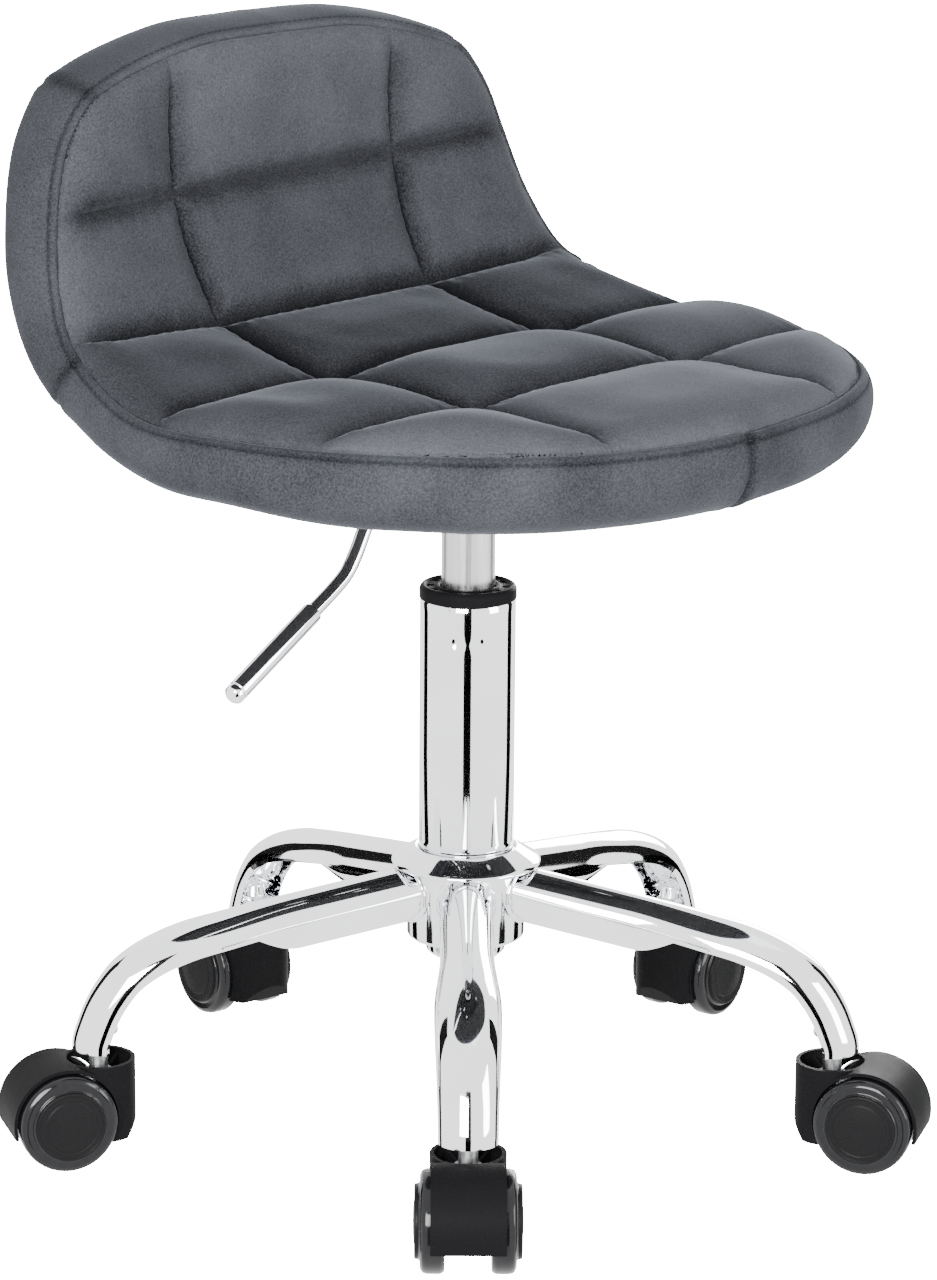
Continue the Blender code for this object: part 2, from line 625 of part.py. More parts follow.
def add_lift(spindle, seat):
    rod, clip, bumper, wall, seal, button = lift_meshes()
    add_node("piston_rod", rod, "satin steel", spindle)
    add_node("retaining_clip", clip, "zinc steel", spindle)
    add_node("rubber_bumper", bumper, "rubber", spindle)
    add_node("gas_cylinder", wall, "satin steel", seat)
    add_node("cylinder_seal", seal, "rubber", seat)
    valve = add_pivot("valve_axis", (0, 0, CYLINDER_TOP + DATUM), seat)
    add_node("valve_button", button, "brass", valve)


def add_plate(seat):
    socket = turned([(14.4, 318.2), (17.2, 318.2), (18, 319), (18, 339.6), (14.4, 339.6)], 32)
    bolt = turned([(0, 351.6), (4.6, 351.6), (5.6, 353), (5.6, 355.4), (3, 355.4), (3, 374), (0, 374)], 12)
    add_node("plate_socket", socket, "chrome", seat)
    add_node("seat_plate", plate_mesh(), "black plastic", seat)
    for k, place in enumerate(bolt_places()):
        add_node(f"plate_bolt_{k + 1}", bolt, "zinc steel", seat, Matrix.Translation((0, 0, DATUM)) @ place)
    lever = add_pivot("lever_pivot", (-52 * MM, 0, LEVER_HEIGHT + DATUM), seat)
    add_node("lever_rod", rod_along(LEVER_ROUTE, LEVER_RADIUS), "chrome", lever)
    add_node("lever_sleeve", sleeve_mesh(), "chrome", lever)


def main():
    clear_scene()
    add_base()
    add_casters()
    spindle = add_pivot("column_swivel", (0, 0, COLUMN_BOTTOM + DATUM))
    seat = add_pivot("lift_slide", (0, 0, CYLINDER_BOTTOM + DATUM), spindle)
    add_lift(spindle, seat)
    add_plate(seat)
    add_seat(seat)


main()
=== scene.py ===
# Adjustable swivel stool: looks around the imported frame. Metres, +Z up, floor at Z = 0.
import math

import bmesh
import bpy
import numpy as np
from mathutils import Matrix, Vector, noise


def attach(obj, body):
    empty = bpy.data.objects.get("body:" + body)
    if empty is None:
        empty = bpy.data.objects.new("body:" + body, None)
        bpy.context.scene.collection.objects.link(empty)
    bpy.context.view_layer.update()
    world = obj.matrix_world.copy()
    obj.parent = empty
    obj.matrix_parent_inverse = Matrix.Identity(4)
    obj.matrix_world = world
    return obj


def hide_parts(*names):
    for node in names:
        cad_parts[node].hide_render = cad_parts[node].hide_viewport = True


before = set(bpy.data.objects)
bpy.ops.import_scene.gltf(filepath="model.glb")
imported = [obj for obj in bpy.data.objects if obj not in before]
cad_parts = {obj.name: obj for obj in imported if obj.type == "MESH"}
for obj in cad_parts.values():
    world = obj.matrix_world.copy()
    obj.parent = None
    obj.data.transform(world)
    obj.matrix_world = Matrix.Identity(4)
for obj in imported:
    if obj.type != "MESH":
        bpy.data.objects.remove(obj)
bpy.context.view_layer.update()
mm = 0.001
datum = 3.2 * mm  # the base, column and seat are counted from here
fromDatum = Matrix.Translation((0, 0, datum))
print("frame loaded")


# Curves and meshes

def splineAt(points, at):
    # Points on a smooth curve, by chord length
    points = np.array(points, float)
    knots = np.concatenate([[0], np.cumsum(np.linalg.norm(np.diff(points, axis=0), axis=1))])
    at = np.clip(np.asarray(at, float), 0, knots[-1])
    i = np.clip(np.searchsorted(knots, at, side="right") - 1, 0, len(points) - 2)
    span = knots[i + 1] - knots[i]
    u = ((at - knots[i]) / span)[..., None]
    order = np.arange(len(points))
    low = np.maximum(order - 1, 0)
    high = np.minimum(order + 1, len(points) - 1)
    slope = (points[high] - points[low]) / (knots[high] - knots[low])[:, None]
    s = span[..., None]
    return ((2 * u**3 - 3 * u**2 + 1) * points[i] + (u**3 - 2 * u**2 + u) * s * slope[i]
            + (-2 * u**3 + 3 * u**2) * points[i + 1] + (u**3 - u**2) * s * slope[i + 1])


def chordLength(points):
    points = np.array(points, float)
    return float(np.linalg.norm(np.diff(points, axis=0), axis=1).sum())


def smoothStep(low, high, value):
    u = np.clip((value - low) / (high - low), 0, 1)
    return u * u * (3 - 2 * u)


def eased(table, at):
    # Values from (place, value) pairs, eased between neighbours
    places = np.array([p for p, _ in table], float)
    values = np.array([v for _, v in table], float)
    at = np.clip(at, places[0], places[-1])
    i = np.clip(np.searchsorted(places, at, side="right") - 1, 0, len(places) - 2)
    return values[i] + (values[i + 1] - values[i]) * smoothStep(places[i], places[i + 1], at)


def rounded(profile, radius=0.5, steps=3, closed=False):
    # The profile with its corners rounded off
    points = [Vector(p) for p in profile]
    count = len(points)
    out = []
    for k, point in enumerate(points):
        if not closed and k in (0, count - 1):
            out.append(point)
            continue
        before = points[k - 1] - point
        after = points[(k + 1) % count] - point
        a = point + before.normalized() * min(radius, before.length * 0.45)
        b = point + after.normalized() * min(radius, after.length * 0.45)
        for j in range(steps + 1):
            t = j / steps
            out.append(a * (1 - t) ** 2 + point * 2 * t * (1 - t) + b * t * t)
    return [tuple(p) for p in out]


def latheMesh(profile, segments, radius=0.5, axis="Z"):
    # A turned solid. The profile is (radius, height) in millimetres
    closed = min(r for r, _ in profile) > 0
    points = rounded(profile, radius, closed=closed) if radius else profile
    bm = bmesh.new()
    verts = [bm.verts.new((r * mm, 0, h * mm)) for r, h in points]
    edges = [bm.edges.new(pair) for pair in zip(verts, verts[1:])]
    if closed:
        edges.append(bm.edges.new((verts[-1], verts[0])))
    bmesh.ops.spin(bm, geom=verts + edges, cent=(0, 0, 0), axis=(0, 0, 1), dvec=(0, 0, 0),
                   angle=math.tau, steps=segments, use_merge=True)
    if axis == "Y":
        bm.transform(Matrix.Rotation(-math.pi / 2, 4, "X"))
    return bm


def loftMesh(rings, looped=False, caps=True):
    # A skin through rings of points, each ring closed on itself
    bm = bmesh.new()
    rows = [[bm.verts.new(point) for point in ring] for ring in rings]
    pairs = list(zip(rows, rows[1:])) + ([(rows[-1], rows[0])] if looped else [])
    for row, after in pairs:
        for k in range(len(row)):
            bm.faces.new([row[k - 1], row[k], after[k], after[k - 1]])
    if not looped and caps:
        for row in (rows[0], rows[-1]):
            middle = bm.verts.new(sum((v.co for v in row), Vector()) / len(row))
            for k in range(len(row)):
                bm.faces.new([row[k - 1], row[k], middle])
    return bm


def tubeMesh(path, radius, sides=10, looped=False, rough=0.0):
    # A round bar along a path of points in metres
    path = [Vector(p) for p in path]
    count = len(path)
    rings = []
    up = None
    for k, point in enumerate(path):
        after = path[(k + 1) % count] if looped or k < count - 1 else point
        before = path[k - 1] if looped or k > 0 else point
        along = (after - before).normalized()
        if up is None:
            up = along.orthogonal().normalized()
        up = (up - along * up.dot(along)).normalized()
        side = along.cross(up)
        size = radius * (1 + rough * noise.noise(point * 400))
        turns = [math.tau * j / sides for j in range(sides)]
        rings.append([point + (up * math.cos(t) + side * math.sin(t)) * size for t in turns])
    return loftMesh(rings, looped)


def meshFrom(bm, name, angle=35, place=None):
    bmesh.ops.remove_doubles(bm, verts=bm.verts, dist=0.001 * mm)
    bmesh.ops.recalc_face_normals(bm, faces=bm.faces)
    if place is not None:
        bm.transform(place)
    mesh = bpy.data.meshes.new(name)
    bm.to_mesh(mesh)
    bm.free()
    mesh.polygons.foreach_set("use_smooth", [True] * len(mesh.polygons))
    mesh.set_sharp_from_angle(angle=math.radians(angle))
    return mesh


def addPiece(name, mesh, material, body, replaced=()):
    mesh.materials.clear()
    mesh.materials.append(material)
    piece = bpy.data.objects.new(name, mesh)
    bpy.context.scene.collection.objects.link(piece)
    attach(piece, body)
    if replaced:
        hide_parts(*replaced)
    return piece


def moved(mesh, place):
    mesh = mesh.copy()
    mesh.transform(place)
    return mesh


def bevelled(mesh, width, angle=40, segments=2):
    # Its sharp edges rounded
    bm = bmesh.new()
    bm.from_mesh(mesh)
    sharp = [e for e in bm.edges if len(e.link_faces) == 2 and e.calc_face_angle(0) > math.radians(angle)]
    bmesh.ops.bevel(bm, geom=sharp, offset=width, offset_type="OFFSET", segments=segments, profile=0.5,
                    affect="EDGES", clamp_overlap=True, material=-1)
    return meshFrom(bm, mesh.name)


def combined(mesh, steps):
    # The mesh after a chain of exact Booleans
    helpers = [bpy.data.objects.new("helper", mesh)]
    bpy.context.scene.collection.objects.link(helpers[0])
    for operation, other in steps:
        cutter = bpy.data.objects.new("cutter", other)
        bpy.context.scene.collection.objects.link(cutter)
        helpers.append(cutter)
        modifier = helpers[0].modifiers.new(operation, "BOOLEAN")
        modifier.operation = operation
        modifier.solver = "EXACT"
        modifier.object = cutter
    graph = bpy.context.evaluated_depsgraph_get()
    result = bpy.data.meshes.new_from_object(helpers[0].evaluated_get(graph))
    for helper in helpers:
        bpy.data.objects.remove(helper, do_unlink=True)
    return result


# Materials

class Shader:
    def __init__(self, name):
        self.material = bpy.data.materials.new(name)
        self.material.use_nodes = True
        self.tree = self.material.node_tree
        self.main = self.tree.nodes["Principled BSDF"]
        self.place = self.tree.nodes.new("ShaderNodeTexCoord").outputs["Object"]

    def node(self, kind, settings=None, **inputs):
        made = self.tree.nodes.new("ShaderNode" + kind)
        for key, value in (settings or {}).items():
            setattr(made, key, value)
        for key, value in inputs.items():
            self.put(made.inputs[key.replace("_", " ")], value)
        return made

    def put(self, socket, value):
        if isinstance(value, bpy.types.NodeSocket):
            self.tree.links.new(value, socket)
        else:
            socket.default_value = value

    def set(self, **inputs):
        for key, value in inputs.items():
            self.put(self.main.inputs[key.replace("_", " ")], value)

    def noise(self, scale, detail=2.0, roughness=0.5, stretch=None):
        place = self.place
        if stretch:
            place = self.node("Mapping", Vector=place, Scale=stretch).outputs[0]
        return self.node("TexNoise", Vector=place, Scale=scale, Detail=detail,
                         Roughness=roughness).outputs["Fac"]

    def ramp(self, value, low, high, fromLow=0.0, fromHigh=1.0):
        return self.node("MapRange", None, Value=value, From_Min=fromLow, From_Max=fromHigh,
                         To_Min=low, To_Max=high).outputs["Result"]

    def mix(self, share, a, b):
        made = self.tree.nodes.new("ShaderNodeMix")
        made.data_type = "RGBA"
        self.put(made.inputs[0], share)
        self.put(made.inputs[6], a)
        self.put(made.inputs[7], b)
        return made.outputs[2]

    def bump(self, height, strength, distance, normal=None):
        made = self.node("Bump", None, Height=height, Strength=strength, Distance=distance)
        if normal is not None:
            self.put(made.inputs["Normal"], normal)
        return made.outputs[0]


def grey(value, alpha=1.0):
    return (value, value, value, alpha)


def chromeLook(name, tint, roughness):
    s = Shader(name)
    smudge = s.noise(30, 4)
    s.set(Metallic=1.0, Base_Color=s.mix(s.ramp(smudge, 0, 1, 0.35, 0.65), (*tint, 1),
                                         (*[c * 0.94 for c in tint], 1)),
          Roughness=s.ramp(smudge, roughness * 0.6, roughness * 1.5, 0.3, 0.7),
          Normal=s.bump(s.noise(18, 2), 0.06, 0.4 * mm))
    return s.material


def brushedLook(name, tint, roughness, stretch):
    s = Shader(name)
    lines = s.noise(420, 3, 0.6, stretch)
    s.set(Metallic=1.0, Base_Color=s.mix(s.ramp(lines, 0, 1, 0.3, 0.7), (*[c * 0.8 for c in tint], 1),
                                         (*tint, 1)),
          Roughness=s.ramp(lines, roughness * 0.8, roughness * 1.25, 0.3, 0.7),
          Normal=s.bump(lines, 0.12, 0.1 * mm))
    return s.material


def mouldedLook(name, tint, roughness, grain, strength, specular=0.25):
    s = Shader(name)
    fine = s.noise(grain, 2)
    broad = s.noise(22, 3)
    lighter = (*[c * 1.35 for c in tint], 1)
    s.set(Base_Color=s.mix(s.ramp(fine, 0, 1, 0.35, 0.65), (*tint, 1), lighter), Specular_IOR_Level=specular,
          Roughness=s.ramp(broad, roughness * 0.85, roughness * 1.15, 0.35, 0.65),
          Normal=s.bump(fine, strength, 0.15 * mm))
    return s.material


def wovenLook(name, tint):
    s = Shader(name)
    warp = s.node("TexWave", {"wave_type": "BANDS", "bands_direction": "X"}, Vector=s.place,
                  Scale=260.0).outputs["Fac"]
    weft = s.node("TexWave", {"wave_type": "BANDS", "bands_direction": "Y"}, Vector=s.place,
                  Scale=260.0).outputs["Fac"]
    weave = s.node("Math", {"operation": "MAXIMUM"}).outputs[0]
    s.put(weave.node.inputs[0], warp)
    s.put(weave.node.inputs[1], weft)
    s.set(Base_Color=s.mix(weave, (*[c * 0.5 for c in tint], 1), (*tint, 1)), Roughness=0.95,
          Normal=s.bump(weave, 0.4, 0.2 * mm))
    return s.material


velvetValues = {"deep": (0.0095, 0.0100, 0.0112), "light": (0.132, 0.138, 0.156), "sheen": 0.14,
                "sheenTint": (0.84, 0.90, 1.0), "roughness": 0.85}


def velvetLook(name, values):
    # The attribute it reads gives the lightness at each point: random tone of the pile, with painted light and
    # shade laid in (pillow lightness, painted shade in seams and stitching, painted highlights)
    s = Shader(name)
    napAndPaintedShade = s.node("Attribute", {"attribute_name": "napAndPaintedShade"}).outputs["Fac"]
    cloudy = s.ramp(s.noise(30, 3, 0.5), -0.05, 0.05, 0.3, 0.7)
    fine = s.ramp(s.noise(950, 3, 0.7), -0.16, 0.16, 0.3, 0.7)
    total = s.node("Math", {"operation": "ADD"}).outputs[0]
    s.put(total.node.inputs[0], napAndPaintedShade)
    s.put(total.node.inputs[1], cloudy)
    share = s.node("Math", {"operation": "ADD", "use_clamp": True}).outputs[0]
    s.put(share.node.inputs[0], total)
    s.put(share.node.inputs[1], fine)
    pile = s.bump(s.noise(1300, 2), 0.35, 0.3 * mm, s.bump(s.noise(90, 3), 0.12, 1.2 * mm))
    s.set(Base_Color=s.mix(share, (*values["deep"], 1), (*values["light"], 1)),
          Roughness=values["roughness"],
          Sheen_Weight=values["sheen"], Sheen_Roughness=0.35, Sheen_Tint=(*values["sheenTint"], 1),
          Specular_IOR_Level=0.0, Normal=pile)
    return s.material


metalValues = {"chromeTint": (0.90, 0.91, 0.93), "chromeRoughness": 0.045, "satinTint": (0.66, 0.66, 0.66),
               "satinRoughness": 0.26}
chrome = chromeLook("chrome", metalValues["chromeTint"], metalValues["chromeRoughness"])
satinSteel = brushedLook("satin steel", metalValues["satinTint"], metalValues["satinRoughness"],
                         (1, 1, 0.03))
zincSteel = brushedLook("zinc steel", (0.60, 0.61, 0.62), 0.36, (1, 1, 0.3))
blackPlastic = mouldedLook("charcoal plastic", (0.007, 0.007, 0.0075), 0.44, 2200, 0.5, 0.012)
capPlastic = mouldedLook("wheel cap plastic", (0.008, 0.008, 0.0085), 0.36, 1800, 0.3, 0.06)
glossPlastic = mouldedLook("gloss black plastic", (0.006, 0.006, 0.007), 0.13, 300, 0.02)
blackPaint = mouldedLook("black paint", (0.012, 0.012, 0.013), 0.42, 900, 0.2, 0.06)
rubberLook = mouldedLook("rubber", (0.02, 0.02, 0.02), 0.8, 500, 0.2)
brass = brushedLook("brass", (0.74, 0.55, 0.25), 0.3, (1, 1, 0.05))
lining = wovenLook("lining", (0.022, 0.022, 0.024))
velvet = velvetLook("velvet", velvetValues)
threadLook = mouldedLook("thread", (0.016, 0.019, 0.024), 0.8, 1500, 0.4, 0.1)
print("materials made")


# Base frame

legValues = {"radius": 14.0, "spread": 3.0, "wall": 2.2, "pressStart": 96.0, "pressEnd": 150.0,
             "stations": 90, "topSteps": 28, "underSteps": 24}
legRidge = [(26, 139.0), (69, 132.6), (107, 126.8), (134, 122.2), (156, 117.8), (176, 110.4),
            (190.5, 101.2), (199.5, 91), (206, 80.5), (210.6, 69.5), (213.3, 61), (213.6, 55.7)]
legTurns = [math.radians(-48.97 + 72 * k - 90) for k in range(5)]


def legSection(press, width):
    # Half-round top, and an under side that goes from round to pressed up against it
    values = legValues
    points = []
    for k in range(values["topSteps"] + 1):
        turn = math.pi * k / values["topSteps"]
        points.append((width * math.cos(turn), values["radius"] * math.sin(turn)))
    rim = -2.0
    height = values["radius"] - values["wall"] - rim
    for k in range(values["underSteps"] + 1):
        turn = math.pi - math.pi * k / values["underSteps"]
        across = math.cos(turn)
        lift = max(math.sin(turn), 0)
        fullness = (width * 0.96 * across, -values["radius"] * lift - 1.5)
        pressed = ((width - values["wall"]) * across, rim + height * lift**0.5)
        points.append(tuple((1 - press) * a + press * b for a, b in zip(fullness, pressed)))
    return points


def legMesh():
    length = chordLength(legRidge)
    rings = []
    for k in range(legValues["stations"] + 1):
        at = length * k / legValues["stations"]
        (x, z), before, after = splineAt(legRidge, [at, at - 1, at + 1])
        if x < 29:
            continue
        along = Vector((after[0] - before[0], 0, after[1] - before[1])).normalized()
        outward = Vector((-along.z, 0, along.x))
        press = float(smoothStep(legValues["pressStart"], legValues["pressEnd"], x))
        fade = float(smoothStep(0.6 * length, length, at))
        width = legValues["radius"] + legValues["spread"] * press - 2.0 * fade
        middle = Vector((x, 0, z)) - outward * legValues["radius"]
        rings.append([(middle + outward * n + Vector((0, t, 0))) * mm for t, n in legSection(press, width)])
    return meshFrom(loftMesh(rings), "leg", 50)


def weldMesh():
    # Bead where a leg's round tube meets the hub
    path = []
    for k in range(72):
        turn = math.tau * k / 72
        y = 14.2 * math.sin(turn)
        path.append(Vector((math.sqrt(31.0**2 - y * y) + 0.3, y, 123.6 + 14.6 * math.cos(turn))) * mm)
    return meshFrom(tubeMesh(path, 1.5 * mm, 10, True, 0.35), "weld", 80)


leg = legMesh()
weld = weldMesh()
stemSocket = meshFrom(latheMesh([(0, 78.4), (2.6, 77.8), (5.4, 74.8), (7, 68.5), (10.4, 66.8), (10.4, 64),
                                 (5.2, 64),
                                 (5.2, 71.4), (0, 73)], 64, 0.8), "socket")
for vertex in stemSocket.vertices:
    if vertex.co.z < 67 * mm:
        vertex.co.x = min(vertex.co.x, 6.0 * mm)
for k, turn in enumerate(legTurns):
    place = fromDatum @ Matrix.Rotation(turn, 4, "Z")
    addPiece(f"legTube{k + 1}", moved(leg, place), chrome, "base", [f"leg_{k + 1}"])
    addPiece(f"legWeld{k + 1}", moved(weld, place), chrome, "base")
    at = place @ Matrix.Translation((0.2, 0, 0))
    addPiece(f"legSocket{k + 1}", moved(stemSocket, at), chrome, "base", [f"stem_socket_{k + 1}"])
print("legs made")

hub = latheMesh([(22.9, 98), (29.5, 98), (31, 99.5), (31, 137), (23.4, 137)], 128, 1.0)
addPiece("hubBody", meshFrom(hub, "hub", 35, fromDatum), chrome, "base", ["hub_casting"])
cone = latheMesh([(25.3, 146.6), (26.8, 147.6), (31, 145.2), (38.2, 140.8), (39.4, 139.4), (39.0, 137.8),
                  (37.2, 137.9), (31, 142.6), (25.3, 144.6)], 128, 0.9)
addPiece("hubCone", meshFrom(cone, "cone", 35, fromDatum), chrome, "base", ["hub_cone_cover"])
boss = latheMesh([(0, 88.3), (18.5, 88.3), (20.8, 90.6), (21.6, 98), (22.6, 104), (0, 104)], 96, 0.8)


columnValues = {"dimpleTurn": math.radians(-139.6), "dimpleSide": 6.2, "dimpleHeight": 263.0,
                "dimpleDepth": 1.0}


def columnMesh():
    # The tube, with two small crimps below its guide bush
    heights = [(21.2, 98.0), (22.5, 137.0), (22.9, 143.0), (24.4, 145.2), (25, 146.4), (25, 200), (25, 248)]
    heights += [(25, 249 + k) for k in range(28)] + [(25, 280.2), (24.6, 281), (23.4, 281), (23.3, 280),
                                                     (23.3, 200)]
    bm = bmesh.new()
    verts = [bm.verts.new((r * mm, 0, h * mm)) for r, h in heights]
    edges = [bm.edges.new(pair) for pair in zip(verts, verts[1:])]
    bmesh.ops.spin(bm, geom=verts + edges, cent=(0, 0, 0), axis=(0, 0, 1), dvec=(0, 0, 0),
                   angle=math.tau, steps=192, use_merge=True)
    values = columnValues
    for vertex in bm.verts:
        height = vertex.co.z / mm
        if not 248.5 < height < 277 or vertex.co.xy.length < 24.9 * mm:
            continue
        around = (math.atan2(vertex.co.y, vertex.co.x) - values["dimpleTurn"] + math.pi) % math.tau - math.pi
        side = abs(around * 25.0) - values["dimpleSide"]
        down = height - values["dimpleHeight"]
        width = 2.0 if down > 0 else 3.0
        drop = 2.4 if down > 0 else 3.6
        depth = values["dimpleDepth"] * math.exp(-((side / width) ** 2) - (down / drop) ** 2)
        vertex.co.xy *= 1 - depth / 25.0
    return meshFrom(bm, "column", 35, fromDatum)


addPiece("columnTube", columnMesh(), chrome, "base", ["column_outer_tube"])
addPiece("hubBoss", meshFrom(boss, "boss", 35, fromDatum), chrome, "base")
for k in range(5):
    turn = legTurns[k] + math.radians(36)
    screw = latheMesh([(0, 0), (3.2, 0), (3.2, 2.2), (2.2, 3.0), (0, 3.2)], 32, 0.4)
    place = fromDatum @ Matrix.Rotation(turn, 4, "Z") @ Matrix.Translation((20.6 * mm, 0, 95 * mm))
    addPiece(f"hubScrew{k + 1}", meshFrom(screw, "screw", 35, place @ Matrix.Rotation(math.pi / 2, 4, "Y")),
             zincSteel, "base")


def bushMesh():
    # Guide bush with radial slots in its top face
    profile = rounded([(14.3, 205), (22.9, 205), (22.9, 281.3), (25.4, 281.3), (25.4, 286.6), (24.2, 288.4),
                       (22.6, 288.4), (21.8, 287.2), (17.6, 287.2), (16.8, 288.0), (14.9, 288.0),
                       (14.3, 286.8)],
                      0.5, 3, True)
    bm = bmesh.new()
    verts = [bm.verts.new((r * mm, 0, h * mm)) for r, h in profile]
    edges = [bm.edges.new(pair) for pair in zip(verts, verts[1:] + verts[:1])]
    bmesh.ops.spin(bm, geom=verts + edges, cent=(0, 0, 0), axis=(0, 0, 1), dvec=(0, 0, 0),
                   angle=math.tau, steps=144, use_merge=True)
    slots = [f for f in bm.faces if f.calc_center_median().z > 286.9 * mm
             and 17.7 * mm < f.calc_center_median().xy.length < 21.7 * mm
             and (math.degrees(math.atan2(*f.calc_center_median().yx)) % 30) < 12.5]
    grown = bmesh.ops.extrude_face_region(bm, geom=slots)
    down = [v for v in grown["geom"] if isinstance(v, bmesh.types.BMVert)]
    bmesh.ops.translate(bm, verts=down, vec=(0, 0, -2.2 * mm))
    bmesh.ops.delete(bm, geom=slots, context="FACES_ONLY")
    return meshFrom(bm, "bush", 35, fromDatum)


addPiece("guideBush", bushMesh(), blackPlastic, "base", ["column_guide_bush"])
print("hub and column made")


# Gas lift and lever

gas = latheMesh([(12.2, 130), (14, 130), (14, 331), (13.3, 340), (3.3, 340), (3.3, 336), (12.2, 334)], 128,
                0.4)
addPiece("gasCylinder", meshFrom(gas, "gas", 35, fromDatum), satinSteel, "seat",
         ["gas_cylinder"])
collar = latheMesh([(14.3, 318.2), (17.2, 318.2), (18, 319), (18, 339.6), (14.3, 339.6)], 128, 0.5)
addPiece("plateCollar", meshFrom(collar, "collar", 35, fromDatum), chrome, "seat",
         ["plate_socket"])

leverRoute = [(8, 351.3), (-20, 351.3), (-52, 351.3), (-64, 349.6), (-73.5, 342.5), (-80.5, 331.5),
              (-87.5, 319.5), (-94.5, 310.5), (-104, 303.9), (-119.4, 295.4), (-171, 266.9)]
leverValues = {"radius": 4.0, "stations": 140}
lengths = np.linspace(0, chordLength(leverRoute), leverValues["stations"])
route = [Vector((x, 0, z)) * mm for x, z in splineAt(leverRoute, lengths)]
lever = meshFrom(tubeMesh(route, leverValues["radius"] * mm, 32), "lever", 50, fromDatum)
addPiece("leverRod", lever, chrome, "lever", ["lever_rod"])
sleeveStart = Vector((-119.4, 0, 295.4)) * mm
sleeveEnd = Vector((-179.5, 0, 262.4)) * mm
sleeveLength = (sleeveEnd - sleeveStart).length / mm
sleeve = latheMesh([(0, sleeveLength), (3.6, sleeveLength - 0.3), (5.2, sleeveLength - 2.0),
                    (5.5, sleeveLength - 4.4),
                    (5.15, sleeveLength - 4.9), (5.15, sleeveLength - 5.5), (5.5, sleeveLength - 6.0),
                    (5.5, 0.8),
                    (5.0, 0), (4.05, 0), (4.05, 8), (0, 8)], 64, 0.35)
tilt = Vector((0, 0, 1)).rotation_difference((sleeveEnd - sleeveStart).normalized()).to_matrix().to_4x4()
place = fromDatum @ Matrix.Translation(sleeveStart) @ tilt
addPiece("leverSleeve", meshFrom(sleeve, "sleeve", 35, place), chrome, "lever", ["lever_sleeve"])
print("lift and lever made")


# Casters

casterValues = {"reach": 200.0, "trail": 21.0, "wheel": 25.7, "hoodOuter": 28.4, "hoodInner": 26.6,
                "hoodHalf": 18.5, "cup": 19.0, "cupTop": 53.4}


def arc(x, z, radius, start, stop, steps):
    turns = [math.radians(start + (stop - start) * k / steps) for k in range(steps + 1)]
    return [(x + radius * math.cos(t), z + radius * math.sin(t)) for t in turns]


def extruded(outline, low, high):
    bm = bmesh.new()
    face = bm.faces.new([bm.verts.new((x * mm, low * mm, z * mm)) for x, z in outline])
    grown = bmesh.ops.extrude_face_region(bm, geom=[face])
    far = [v for v in grown["geom"] if isinstance(v, bmesh.types.BMVert)]
    bmesh.ops.translate(bm, verts=far, vec=(0, (high - low) * mm, 0))
    return meshFrom(bm, "extruded")


def rod(radius, low, high, segments, axis="Z", radiusCorner=0):
    return meshFrom(latheMesh([(0, low), (radius, low), (radius, high), (0, high)], segments, radiusCorner,
                              axis), "rod")


def hoodMesh():
    v = casterValues
    axle = (v["trail"], v["wheel"])
    atAxle = Matrix.Translation((axle[0] * mm, 0, axle[1] * mm))
    guard = arc(*axle, v["hoodOuter"], -15, 195, 48) + arc(*axle, v["hoodInner"], 195, -15, 48)
    web = arc(*axle, 14, 180, 360, 24) + [(axle[0] + 14, 48), (-9, 46)]
    toe = [(-30, 0), (-30, 35), (-19, 22), (-9, 10), (-9, 0)]
    steps = [("DIFFERENCE", extruded(toe, -25, 25))]
    for side in (-1, 1):
        steps.append(("DIFFERENCE", moved(rod(v["hoodInner"], side * 11.1, side * 24, 96, "Y"), atAxle)))
    steps += [
        ("UNION", extruded(web, -10.8, 10.8)),
        ("UNION", extruded(guard, -v["hoodHalf"], v["hoodHalf"])),
        ("DIFFERENCE", rod(16.8, 44, 60, 96)),
        ("DIFFERENCE", rod(5.2, 34, 60, 48)),
        ("DIFFERENCE", moved(rod(3.2, -15, 15, 32, "Y"), atAxle)),
    ]
    for turn in (40, 140, 220, 320):
        rib = extruded([(6, 40), (17.2, 40), (17.2, 51), (6, 45.5)], -0.8, 0.8)
        steps.append(("UNION", moved(rib, Matrix.Rotation(math.radians(turn), 4, "Z"))))
    body = meshFrom(latheMesh([(0, 12.7), (v["cup"], 12.7), (v["cup"], v["cupTop"]), (0, v["cupTop"])], 96,
                              0.0), "cup")
    return bevelled(combined(body, steps), 0.45 * mm)


def wheelMeshes(side):
    rim = latheMesh([(r, side * h) for r, h in
                     [(0, 24.6), (18.6, 24.6), (19.2, 23.7), (22.6, 23.7), (25.0, 22.4), (25.7, 20.2),
                      (25.7, 13.6),
                      (24.4, 11.4), (3.25, 11.4), (3.25, 20), (0, 20)]], 128, 0.8, "Y")
    cap = latheMesh([(r, side * h) for r, h in
                     [(0, 27.1), (6, 26.95), (13.4, 26.3), (13.9, 25.8), (14.5, 26.15), (16.6, 25.85),
                      (17.0, 26.5),
                      (18.2, 26.3), (18.5, 25.2), (18.5, 24.2), (0, 24.2)]], 128, 0.35, "Y")
    return meshFrom(rim, "rim"), meshFrom(cap, "cap")


